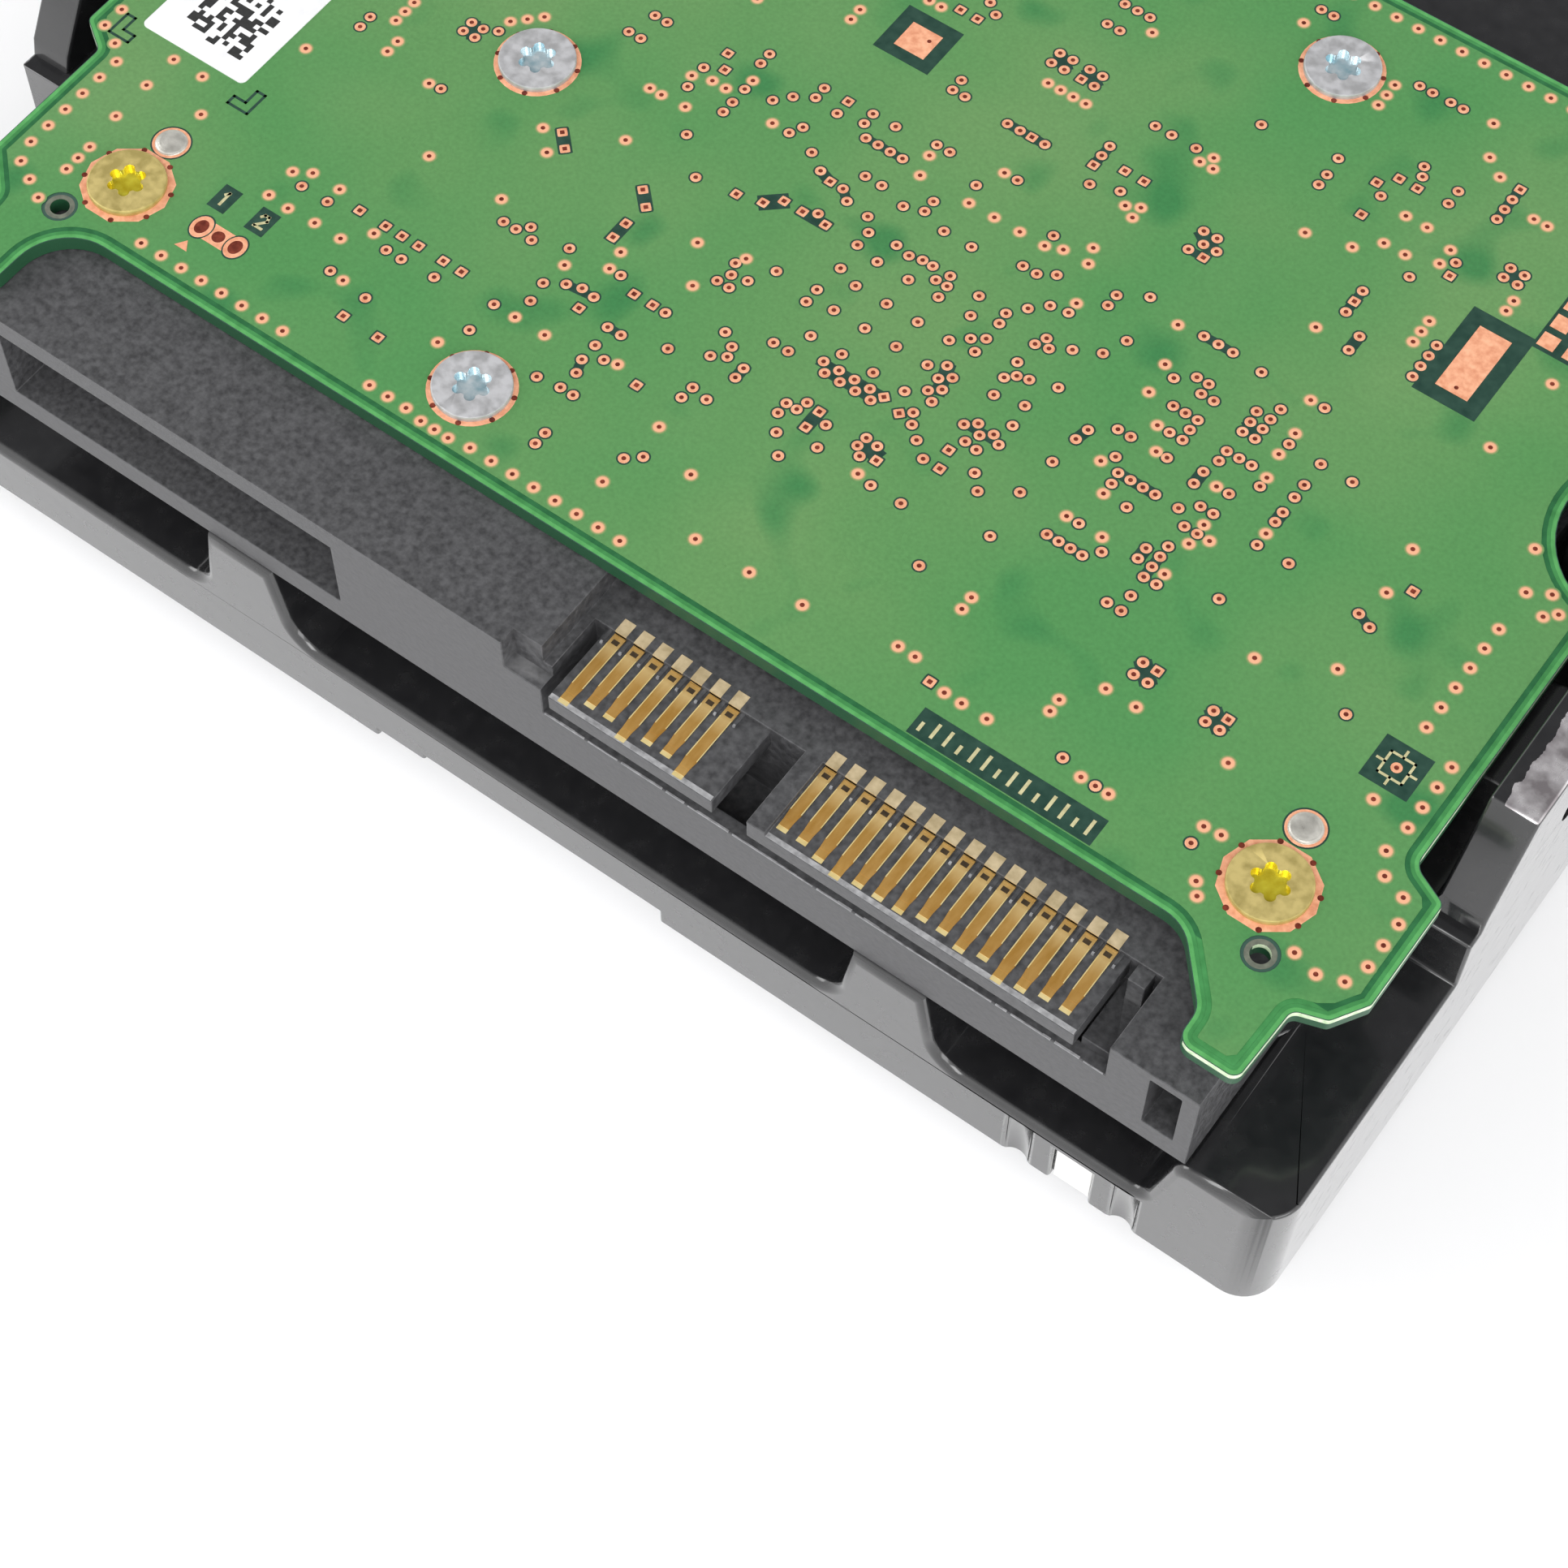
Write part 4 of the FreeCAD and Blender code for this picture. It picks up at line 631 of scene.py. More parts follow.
ringed = places(
    # left of the middle
    (-27.4, -56.3), (-25.5, -56.3), (-20.6, -57.0, 1.1, 0, 2), (-17.2, -56.9), (-22.2, -60.0),
    (-19.4, -60.3), (-16.5, -51.5, 0.9, 0, 2), (-14.4, -51.6), (-15.0, -50.9), (-12.3, -50.8),
    (-32.3, -44.2, 0, -0.93, 2), (-25.5, -46.0), (-27.2, -41.0, 0.86, 0, 2),
    (-27.2, -41.8, 0.86, 0, 2), (-25.5, -40.6), (-18.8, -34.2, 0.88, 0, 2),
    (-19.3, -36.1, 0.88, 0, 2), (-11.6, -32.6, 0, -0.88, 2), (-14.1, -35.7), (-14.0, -37.4),
    (-11.2, -35.6), (-11.2, -36.8, 0, -0.9, 2), (-8.6, -34.4), (-9.4, -35.3), (-11.9, -40.3),
    (-9.6, -42.5), (-7.5, -32.8, 0, -0.88, 2), (-5.8, -33.9), (-6.8, -35.9), (-7.2, -36.7),
    (-5.3, -37.1), (-13.3, -56.4), (-13.3, -58.6), (-11.8, -55.0), (-12.0, -53.6),
    (-10.9, -52.9), (-10.0, -52.6), (-9.1, -52.7), (-8.8, -50.6), (-8.3, -58.9),
    # middle: the fan-out under the controller
    (-7.2, -53.9, 0.93, 0, 2), (-7.0, -55.3), (-6.0, -55.8), (-7.0, -56.5), (-6.7, -57.4),
    (-6.8, -58.7, 0.88, 0, 2), (-5.6, -61.6, 0, -0.87, 2), (-5.2, -51.2), (-3.6, -53.1),
    (-4.1, -46.1), (-3.8, -46.9), (-2.8, -46.7), (-4.2, -47.7, 0.83, 0, 2), (-1.9, -45.2),
    (-1.7, -50.3), (-0.8, -50.9), (-0.6, -51.6), (-1.4, -52.1), (0.6, -51.7, 0, -0.77, 2),
    (-0.9, -54.4), (0.2, -54.6), (-1.0, -55.3), (-0.3, -59.7), (-1.1, -60.4),
    (0.9, -49.3, 1.0, 0, 2), (-4.1, -32.7, 0, -0.88, 2), (-2.5, -32.7), (-3.4, -34.4, 0.86, 0, 4),
    (0.2, -32.4, 0.9, 0, 2), (3.7, -33.5), (5.4, -31.8), (-1.8, -36.7, 1.15, 0, 2), (1.2, -37.2),
    (2.4, -35.9, 0, -0.88, 2), (4.1, -37.3), (6.0, -37.3), (9.1, -36.7, 0.94, 0, 2),
    (-4.1, -37.9), (-2.3, -38.2), (-1.6, -38.8), (0.0, -39.0), (0.7, -39.9), (0.7, -41.0),
    (0.9, -42.9), (0.7, -44.9, 0, -1.03, 2), (2.5, -39.7), (3.5, -39.9), (4.3, -39.7),
    (5.0, -39.7), (6.2, -39.7), (5.7, -40.4, 0.76, 0, 2), (6.5, -41.3), (8.3, -39.9),
    (2.3, -41.3, 2.14, 0, 2), (8.7, -41.3), (2.3, -43.4, 2.13, 0, 4), (2.3, -45.5, 2.13, 0, 4),
    (2.3, -47.7, 2.13, 0, 4), (9.3, -33.9), (8.9, -29.6), (10.6, -29.0), (-2.4, -40.5),
    (3.9, -48.7, 1.05, 0, 4), (4.4, -49.3, 1.04, 0, 4), (9.6, -42.6), (10.3, -42.1),
    (10.3, -43.2), (10.2, -40.0), (10.3, -40.8), (9.6, -44.9), (10.3, -45.4), (9.7, -45.9),
    (10.3, -46.4), (9.7, -46.9), (10.3, -47.4), (9.9, -48.6), (10.3, -49.3), (11.1, -50.0),
    (12.1, -50.8), (4.8, -51.5), (3.9, -52.2), (4.6, -52.2), (3.9, -53.0), (4.6, -54.1),
    (6.5, -52.1), (7.0, -53.6), (5.6, -55.3), (8.8, -51.5), (9.6, -51.6), (8.7, -52.2),
    (9.2, -52.7), (10.8, -53.9), (12.8, -53.9), (-1.4, -27.6), (-1.4, -28.5, 0.87, 0, 2),
    (2.6, -28.7, 0.88, 0, 2), (5.2, -28.7), (2.1, -22.5, 0.9, 0, 2), (2.1, -23.4, 0.9, 0, 2),
    (4.2, -22.5, 0.88, 0, 2), (5.1, -23.4), (-3.4, -21.7), (-2.6, -22.3), (3.1, -17.1, 0.88, 0, 3),
    (3.1, -19.0, 0.88, 0, 2), (8.3, -26.6, 0, -0.85, 2), (9.6, -23.8, 1.13, 0, 2), (12.4, -23.8),
    (12.7, -10.6, 0.85, 0, 2),
    # right of the middle
    (11.0, -36.1), (13.0, -37.9), (11.9, -38.1), (11.0, -39.0), (13.0, -40.1), (12.7, -40.8),
    (13.5, -40.6), (14.6, -39.9), (12.6, -42.4), (13.1, -43.2), (13.8, -43.0), (12.6, -43.7),
    (15.4, -42.5), (14.6, -44.6), (12.8, -45.0), (14.8, -46.1), (13.2, -47.1), (12.6, -47.6),
    (14.3, -47.2), (13.7, -47.7), (14.9, -47.6), (13.3, -48.5), (14.1, -48.6), (14.9, -49.9),
    (15.7, -50.8), (17.6, -49.5), (17.9, -46.8), (17.9, -52.8), (15.9, -56.6), (16.7, -37.6),
    (16.1, -39.1), (16.1, -34.3), (14.5, -35.3, 0, -0.88, 2), (16.0, -28.6, 0.9, 0, 2),
    (16.5, -29.4, 0.87, 0, 2), (16.0, -30.2), (20.0, -34.8, 0.95, 0, 3), (23.9, -35.0),
    (28.0, -35.0), (21.2, -37.4, 0.78, 0, 2), (22.0, -38.2, 0.82, 0, 2), (20.2, -38.2),
    (21.2, -39.8, 0.8, 0, 3), (22.8, -40.6), (22.0, -41.4, 0.84, 0, 2), (19.6, -42.9, 0.84, 0, 2),
    (22.8, -42.9), (20.5, -44.5), (21.2, -45.3, 0.8, 0, 4), (21.3, -46.1), (22.8, -46.9),
    (21.3, -49.3), (23.3, -50.1), (20.3, -50.9, 0.76, 0, 4), (18.3, -43.9), (18.1, -44.8),
    (24.9, -42.5, 0, -0.95, 2), (25.2, -40.6, 0.8, 0, 3), (25.2, -41.4), (26.1, -36.5),
    (25.1, -37.4, 0.9, 0, 2), (25.2, -38.2, 0.8, 0, 2), (25.2, -39.0, 0.8, 0, 2), (27.7, -38.2),
    (27.9, -41.5), (26.8, -42.9), (26.0, -44.5, 0.82, 0, 2), (25.1, -45.3),
    (26.0, -46.1, 0.82, 0, 2), (26.0, -47.7, 0, -0.8, 4), (25.1, -48.5, 0, -0.8, 2),
    (26.8, -50.1), (26.1, -51.5), (25.3, -52.6, 0.9, 0, 2), (29.8, -38.3, 2.0, 0, 2),
    (29.8, -40.0, 0, -1.0, 2), (29.8, -42.2, 0, -0.77, 2), (29.8, -44.8, 2.0, 0, 2),
    (30.0, -48.9), (28.9, -54.6), (28.9, -55.5, 0.88, 0, 2), (33.5, -54.9),
    (33.5, -55.7, 0.88, 0, 2), (39.2, -51.0), (36.5, -45.3), (37.4, -45.7), (28.7, -61.9),
    (31.0, -62.3), (36.8, -62.2), (25.5, -26.9), (25.5, -28.7), (27.0, -29.7, 0, -1.15, 2),
    (30.8, -27.7, 0, -0.87, 4), (27.1, -24.5), (28.7, -22.1), (31.4, -20.6, 0.9, 0, 2),
    (31.4, -21.4, 0.9, 0, 2), (19.4, -19.6), (19.5, -21.0, 0, -0.9, 2), (22.8, -20.5),
    (14.5, -20.1), (23.7, -17.2), (24.0, -17.9), (26.2, -17.6, 0, -1.1, 2),
    (29.0, -16.3, 0, -0.87, 3), (20.4, -12.2, 0.87, 0, 2), (22.5, -12.2, 0.84, 0, 2))

squares = places(
    (-23.6, -55.7), (-21.7, -55.7), (-20.5, -55.7), (-19.3, -55.7), (-17.5, -55.7),
    (-16.2, -55.7), (-19.6, -62.0), (-17.1, -62.0), (-10.8, -47.5, 0, -1.22, 2), (-7.4, -51.2),
    (-6.1, -51.2), (-9.3, -53.8), (-3.5, -56.1), (5.7, -51.6, 0, -1.27, 2), (12.9, -49.5),
    (13.2, -50.8), (10.1, -52.4), (20.5, -62.2), (29.8, -54.6), (34.4, -54.9), (-13.6, -34.0),
    (-13.0, -35.1), (-5.8, -32.8), (-3.2, -38.2), (-7.0, -42.1), (-5.4, -41.7), (-4.5, -40.9),
    (-3.2, -40.9), (-1.6, -40.9), (4.3, -28.7), (8.3, -28.3), (38.1, -42.4), (17.0, -30.2),
    (-4.5, -23.2), (-3.3, -23.2), (4.2, -23.4), (10.0, -27.6), (11.3, -27.6), (25.5, -27.8),
    (28.9, -23.1), (22.6, -22.3), (22.1, -19.8), (23.0, -18.8), (24.2, -18.8), (29.0, -15.4))
turned_squares = places((-17.8, -44.4, 0.86, -0.87, 2), (-11.5, -45.0, 0.9, -0.9, 2),
                        (8.0, -48.7), (9.3, -49.1))

# dark stretches where the mask is open between neighbours: (x, y) to (x, y), and half width
open_links = [
    (-10.8, -47.5, -10.8, -48.8, 0.42), (-17.8, -44.4, -16.9, -45.3, 0.42),
    (-11.5, -45.0, -10.6, -45.9, 0.42), (-5.4, -41.7, -4.5, -40.9, 0.55),
    (-3.2, -40.9, -1.6, -40.9, 0.42), (5.7, -51.6, 5.7, -52.9, 0.42), (8.9, -51.9, 9.9, -52.1, 0.5),
    (0.6, -51.7, 0.6, -52.4, 0.36), (29.0, -54.7, 29.7, -55.4, 0.5), (33.6, -55.0, 34.3, -55.6, 0.5),
    (18.3, -43.9, 18.1, -44.8, 0.36), (21.3, -45.3, 23.6, -45.3, 0.36),
    (24.9, -42.5, 24.9, -43.4, 0.38), (25.3, -38.4, 25.9, -38.9, 0.42), (20.4, -50.9, 22.5, -50.9, 0.33),
    (29.8, -42.2, 29.8, -42.9, 0.38), (25.1, -48.5, 25.1, -49.3, 0.38), (26.0, -48.5, 26.0, -50.1, 0.32),
    (-3.4, -34.4, -0.9, -34.4, 0.3), (-4.1, -37.9, -3.2, -38.2, 0.36), (-2.3, -38.2, -1.6, -38.8, 0.3),
    (2.6, -28.7, 5.2, -28.7, 0.34), (16.1, -28.8, 17.0, -29.4, 0.5), (16.1, -30.2, 17.0, -30.2, 0.3),
    (20.0, -34.8, 21.9, -34.8, 0.32), (29.0, -15.4, 29.0, -18.0, 0.32), (25.5, -26.9, 25.5, -28.7, 0.3),
    (8.3, -26.6, 8.3, -28.3, 0.32), (27.0, -29.7, 27.0, -30.9, 0.36), (9.7, -45.0, 10.2, -46.6, 0.42),
    (30.9, -27.7, 30.9, -30.3, 0.34), (3.9, -48.8, 7.9, -48.7, 0.32), (4.4, -49.2, 7.5, -49.2, 0.3),
    (-27.0, -41.1, -26.5, -41.7, 0.45), (2.3, -22.7, 2.9, -23.2, 0.45), (4.3, -22.7, 5.0, -23.2, 0.45),
    (36.5, -45.3, 37.4, -45.7, 0.28), (-7.2, -53.9, -6.3, -53.9, 0.3), (-7.0, -56.5, -6.7, -57.4, 0.3),
    (12.7, -47.5, 14.8, -47.5, 0.32), (-10.9, -52.9, -9.1, -52.7, 0.3), (31.6, -20.8, 32.2, -21.3, 0.42)]

copper, c_tree, c_shader = plain_shader("masked_copper", (0.88, 0.46, 0.28), 0.38, ior=1.4)
c_noise = use_group(c_tree, grain, Scale=2600.0, Detail=4.0)
c_tree.links.new(ramp(c_tree, c_noise.outputs[0], [(0.3, (0.66, 0.27, 0.15)),
                                                   (0.7, (0.86, 0.44, 0.27))]),
                 c_shader.inputs["Base Color"])
add_bump(c_tree, c_shader, c_noise.outputs[0], 0.4, 0.00001)
# the inside of each plated hole: a dark red disc of painted shade, tinted by its copper wall
hole_shade_red = textured("painted_hole_shade", (0.10, 0.012, 0.006), (0.28, 0.05, 0.025), 3000.0, 0.35, 0.5,
                    metallic=0.3)
opening_dark = textured("mask_opening", (0.010, 0.040, 0.028), (0.022, 0.066, 0.046), 1800.0,
                        0.32, 0.45, bump=0.00001)

# where the plane's copper reaches a masked hole, the salmon fades out through the green
halo, h_tree, h_shader = plain_shader("copper_through_mask", (0.6, 0.45, 0.25), 0.34, ior=1.4)
h_fade = h_tree.nodes.new("ShaderNodeAttribute")
h_fade.attribute_name = "fade"
h_green = use_group(h_tree, mask_green)
h_tree.links.new(mix_colour(h_tree, h_fade.outputs["Fac"], h_green.outputs["Color"],
                            (0.80, 0.40, 0.24)), h_shader.inputs["Base Color"])


def build_pads(name, spots, rings, materials, square=False, turn=0.0, sides=16, tall=1.0):
    """Low closed discs or squares; each ring is (radius, height, material, fade) in mm."""
    bm = bmesh.new()
    fade_layer = bm.verts.layers.float.new("fade")
    half = math.pi / sides
    for x, y in spots:
        loops = []
        for radius, height, _, fade in rings:
            loop = []
            for k in range(sides):
                angle = 2 * half * k
                reach = radius
                if square:
                    reach = radius / max(abs(math.cos(angle)), abs(math.sin(angle)))
                    reach = min(reach, radius * 1.32)
                vert = bm.verts.new(((x + reach * math.cos(angle + turn)) * MM,
                                     (y + reach * tall * math.sin(angle + turn)) * MM,
                                     mask_top + height * MM))
                vert[fade_layer] = fade
                loop.append(vert)
            loops.append(loop)
        for (_, _, kind, _), outer, inner in zip(rings[1:], loops, loops[1:]):
            for k in range(sides):
                j = (k + 1) % sides
                bm.faces.new((outer[k], outer[j], inner[j], inner[k])).material_index = kind
        bm.faces.new(loops[-1]).material_index = rings[-1][2]
        bm.faces.new(loops[0][::-1])
    settle(bm, name, materials)


# the last disc of these rings is the painted shade inside the hole
hole_rings = [(0.14, 0.022, 1, 1), (0.11, 0.006, 2, 1)]
bare_rings = [(0.43, -0.02, 0, 0), (0.43, 0.006, 0, 0), (0.33, 0.007, 0, 0), (0.30, 0.022, 1, 1)]
build_pads("ringed_holes", ringed, bare_rings + hole_rings, [opening_dark, copper, hole_shade_red])
square_rings = [(0.40, -0.02, 0, 0), (0.40, 0.006, 0, 0), (0.30, 0.007, 0, 0), (0.28, 0.022, 1, 1)]
for name, spots, turn in (("square_pads", squares, 0.0), ("turned_pads", turned_squares,
                                                          math.pi / 4)):
    build_pads(name, spots, square_rings + hole_rings, [opening_dark, copper, hole_shade_red],
               square=True, turn=turn)
faded_rings = [(0.50, -0.02, 0, 0), (0.50, 0.002, 0, 0.0), (0.40, 0.005, 0, 0.22),
               (0.33, 0.010, 0, 0.85), (0.28, 0.018, 0, 1), (0.14, 0.018, 0, 1), (0.10, 0.004, 1, 1)]
build_pads("masked_holes", masked + stitched, faded_rings, [halo, hole_shade_red])


def flat_bars(name, bars, height, material, thickness=0.03):
    """Thin closed bars between pairs of points: (x0, y0, x1, y1, half width) in mm."""
    bm = bmesh.new()
    for x0, y0, x1, y1, half in bars:
        along = Vector((x1 - x0, y1 - y0))
        length = max(along.length, 1e-6)
        along = along / length
        side = Vector((-along.y, along.x)) * half
        tip = along * min(half, 0.3)
        start, end = Vector((x0, y0)) - tip, Vector((x1, y1)) + tip
        corners = [start - side, end - side, end + side, start + side]
        low = [bm.verts.new((c.x * MM, c.y * MM, mask_top + (height - thickness) * MM))
               for c in corners]
        high = [bm.verts.new((c.x * MM, c.y * MM, mask_top + height * MM)) for c in corners]
        bm.faces.new(high)
        bm.faces.new(low[::-1])
        for i in range(4):
            j = (i + 1) % 4
            bm.faces.new((low[i], low[j], high[j], high[i]))
    settle(bm, name, [material])


flat_bars("open_links", open_links, 0.004, opening_dark)

# ---------------------------------------------------------------- solid marks on the board
# Square test lands, the jumper strip and the fiducial target: copper left bare in windows of
# the mask, and cream legend ink in dark boxes. Sizes in mm from the part's own origin.
ink = textured("legend_ink", (0.42, 0.38, 0.20), (0.60, 0.56, 0.32), 3000.0, 0.5, 0.6)


def flat_shape(name, points, height, material):
    """A thin closed plate over a convex outline given in mm."""
    bm = bmesh.new()
    low = [bm.verts.new((x * MM, y * MM, mask_top + (height - 0.03) * MM)) for x, y in points]
    high = [bm.verts.new((x * MM, y * MM, mask_top + height * MM)) for x, y in points]
    bm.faces.new(high)
    bm.faces.new(low[::-1])
    for i in range(len(points)):
        j = (i + 1) % len(points)
        bm.faces.new((low[i], low[j], high[j], high[i]))
    settle(bm, name, [material])


def block(x0, x1, y0, y1):
    """The four corners of a rectangle."""
    return [(x0, y0), (x1, y0), (x1, y1), (x0, y1)]


# thermal land of the driver chip, with its neighbour, and the land of the shock sensor
flat_shape("land_window", block(31.1, 35.1, -30.95, -24.1), 0.006, opening_dark)
flat_shape("land_window_side", block(35.0, 38.5, -24.6, -19.9), 0.004, opening_dark)
flat_shape("sensor_window", block(-7.15, -3.25, -28.45, -24.65), 0.006, opening_dark)
flat_shape("land_copper", block(32.05, 34.1, -30.0, -25.1), 0.022, copper)
flat_shape("sensor_copper", block(-6.2, -4.1, -27.65, -25.6), 0.022, copper)
for row in range(3):
    for column in range(2):
        x, y = 35.7 + 1.6 * column, -20.8 - 1.5 * row
        flat_shape("side_land_%d%d" % (row, column), block(x - 0.52, x + 0.52, y - 0.52, y + 0.52),
                   0.02, copper)
build_pads("land_holes", places((33.15, -29.55), (-4.6, -26.3)),
           [(0.13, 0.0, 0, 1), (0.13, 0.026, 0, 1), (0.10, 0.024, 0, 1)], [hole_shade_red])

# jumper strip: three plated holes joined by a copper bar, the outer two ringed in the dark
flat_shape("jumper_bar", block(-30.6, -27.1, -62.55, -61.25), 0.018, copper)
jumper_xs = (-30.1, -28.85, -27.6)
outer_rings = [(0.72, -0.02, 0, 0), (0.72, 0.020, 0, 0), (0.64, 0.021, 0, 0), (0.62, 0.034, 1, 1),
               (0.44, 0.034, 1, 1), (0.40, 0.026, 1, 1), (0.36, 0.022, 2, 1)]
build_pads("jumper_rings", [(jumper_xs[0], -61.9), (jumper_xs[2], -61.9)], outer_rings,
           [opening_dark, copper, hole_shade_red], sides=24, tall=1.26)
build_pads("jumper_middle", [(jumper_xs[1], -61.9)], [(0.52, -0.02, 1, 1)] + outer_rings[4:],
           [opening_dark, copper, hole_shade_red], sides=24)
flat_shape("jumper_pointer", [(-30.55, -63.75), (-29.65, -63.75), (-30.1, -63.1)], 0.014, copper)


def legend(name, place, size, strokes, pen):
    """Cream strokes in a dark box; strokes are in parts of the box's half size."""
    (x, y), (w, h) = place, size
    flat_shape(name + "_box", block(x - w, x + w, y - h, y + h), 0.006, opening_dark)
    flat_bars(name + "_ink", [(x + a * w, y + b * h, x + c * w, y + d * h, pen)
                              for a, b, c, d in strokes], 0.014, ink, 0.01)


one = [(0.0, -0.5, 0.0, 0.5), (0.0, 0.5, -0.25, 0.3)]
two = [(-0.4, -0.5, 0.4, -0.5), (-0.35, -0.45, 0.35, 0.15), (0.35, 0.15, 0.2, 0.5),
       (0.2, 0.5, -0.2, 0.5), (-0.2, 0.5, -0.4, 0.3)]
legend("pin_one", (-30.35, -59.6), (0.62, 0.9), one, 0.09)
legend("pin_two", (-27.55, -59.6), (0.66, 0.9), two, 0.09)
# a plain row of tally marks, where a maker would put its own lettering
tally = [(-0.92 + 0.14 * k, -0.45, -0.92 + 0.14 * k, 0.45 if k % 3 else 0.0) for k in range(14)]
legend("tally", (26.95, -64.5), (5.75, 0.9), tally, 0.10)

# fiducial target: a cream square with four arms round one plated hole, in a dark window
flat_shape("target_window", block(41.55, 44.45, -53.65, -50.7), 0.005, opening_dark)
cx, cy, reach, arm, pen = 43.0, -52.2, 0.72, 1.15, 0.075
target = []
for sx, sy in ((1, 0), (0, 1), (-1, 0), (0, -1)):
    ax, ay = cx + sx * reach, cy + sy * reach
    target.append((ax - sy * reach, ay - sx * reach, ax + sy * reach, ay + sx * reach, pen))
    target.append((ax, ay, cx + sx * arm, cy + sy * arm, pen))
flat_bars("target_ink", target, 0.014, ink, 0.012)
build_pads("target_hole", [(cx, cy)], [(0.32, -0.01, 1, 1), (0.32, 0.022, 1, 1)] + hole_rings,
           [opening_dark, copper, hole_shade_red])

# corner brackets that show where the label goes: dark outlines round a green L
for side, x0 in ((1, -44.0), (-1, -33.4)):
    long_x, short_y = x0 + side * 1.45, -52.45
    corner = [(x0, short_y), (x0, -54.1), (long_x, -54.1)]
    inner = [(x0 + side * 0.6, short_y), (x0 + side * 0.6, -53.5), (long_x, -53.5)]
    lines = [corner[0] + corner[1], corner[1] + corner[2], inner[0] + inner[1],
             inner[1] + inner[2], corner[0] + inner[0], corner[2] + inner[2]]
    flat_bars("bracket_%s" % ("left" if side > 0 else "right"),
              [(*line, 0.09) for line in lines], 0.004, opening_dark)

# tooling holes: bare grey laminate in a ring round each drilled hole
bare_ring, b_tree, b_shader = plain_shader("bare_laminate", (0.12, 0.13, 0.10), 0.55)
b_noise = use_group(b_tree, grain, Scale=2400.0, Detail=4.0)
b_tree.links.new(ramp(b_tree, b_noise.outputs[0], [(0.3, (0.085, 0.095, 0.075)),
                                                   (0.7, (0.16, 0.175, 0.13))]),
                 b_shader.inputs["Base Color"])
for number, (x, y) in enumerate(tooling_places):
    plate_with_holes("tooling_ring_%d" % number, circle(x, y, 0.86), [circle(x, y, 0.57)],
                     board_top - 0.02 * MM, board_top + 0.012 * MM, bare_ring)

# ---------------------------------------------------------------- solder dots
# Two test points beside the gold screws: a low dome of bright tin on a pink copper land.
tin = textured("solder", (0.40, 0.39, 0.35), (0.70, 0.68, 0.62), 1500.0, 0.25, 0.45, metallic=0.5,
               bump=0.00006, detail=8.0)
dome = [(0.95 * math.cos(math.radians(a)), 0.03 + 0.20 * math.sin(math.radians(a)), 2, 1)
        for a in range(0, 90, 15)]
build_pads("solder_dots", [(-35.5, -58.3), (41.1, -58.0)],
           [(1.22, -0.02, 0, 0), (1.22, 0.006, 0, 0), (1.12, 0.007, 0, 0), (1.10, 0.020, 1, 1),
            (0.96, 0.022, 1, 1)] + dome, [opening_dark, copper, tin], sides=36)

# ---------------------------------------------------------------- board screws
# Low-headed steel screws with six-lobed recesses: three zinc-plated ones hold the board and
# two brass-coloured ones go through the connector. Each head sits on a bare copper land.
screw_groups = [
    ("board_screws", "silver_screws", "zinc_screw", [(-22.2, -41.1), (-10.7, -61.6), (16.1, -13.8)],
     ((0.47, 0.47, 0.475), (0.60, 0.60, 0.615)), ((0.30, 0.52, 0.60), (0.90, 0.96, 0.98)), 2.58, 36),
    ("connector_screws", "gold_screws", "brass_screw", [(-35.5, -62.1), (41.35, -61.9)],
     ((0.50, 0.40, 0.13), (0.64, 0.52, 0.20)), ((0.62, 0.47, 0.01), (0.98, 0.88, 0.08)), 2.78, 10)]
recess_reach, head_skin = 1.22, 0.05 * MM
for node, name, slot, spots, plate, recess_highlight, land, sides in screw_groups:
    cloudy = textured(name + "_plating", *plate, 1500.0, 0.42, 0.62, metallic=0.55, bump=0.00002,
                      detail=12.0, contrast=0.14)
    # the bright recess colour is a painted highlight
    bright = textured(name + "_recess", *recess_highlight, 1500.0, 0.10, 0.25, metallic=0.6)
    heads = softened(node, name, 0.10, cloudy)
    heads.data.materials.append(bright)
    head_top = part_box(node)[1].z
    # faces inside each recess take the bright colour: a painted highlight on the recess walls
    for face in heads.data.polygons:
        near = min(math.hypot(face.center.x / MM - x, face.center.y / MM - y) for x, y in spots)
        if near < recess_reach and board_top < face.center.z < head_top - head_skin:
            face.material_index = 1
    build_pads(name + "_lands", spots, [(land, -0.02, 0, 0), (land, 0.006, 0, 0),
                                        (land - 0.05, 0.016, 0, 1)], [copper], sides=sides)
    around = [(x + (land - 0.14) * math.cos(math.radians(45 * k + 20)),
               y + (land - 0.14) * math.sin(math.radians(45 * k + 20)))
              for x, y in spots for k in range(8)]
    build_pads(name + "_land_holes", around,
               [(0.17, 0.0, 0, 1), (0.17, 0.020, 0, 1), (0.14, 0.018, 0, 1)], [hole_shade_red])

# ---------------------------------------------------------------- plug contacts
# Stamped strips, gold-plated, lying on the two tongues: each has a bend hole at its root, a
# plain run, and a narrower tip turned down into the tongue. The tip and both side edges carry a
# painted highlight, the gold is painted in lighter and darker bands along the strip, and the bend
# hole is a dark square of painted shade.
gold_plate, gp_tree, gp_shader = plain_shader("contact_gold", (0.5, 0.3, 0.08), 0.26, metallic=0.55)
gp_place = gp_tree.nodes.new("ShaderNodeTexCoord")
gp_split = gp_tree.nodes.new("ShaderNodeSeparateXYZ")
gp_tree.links.new(gp_place.outputs["Object"], gp_split.inputs[0])
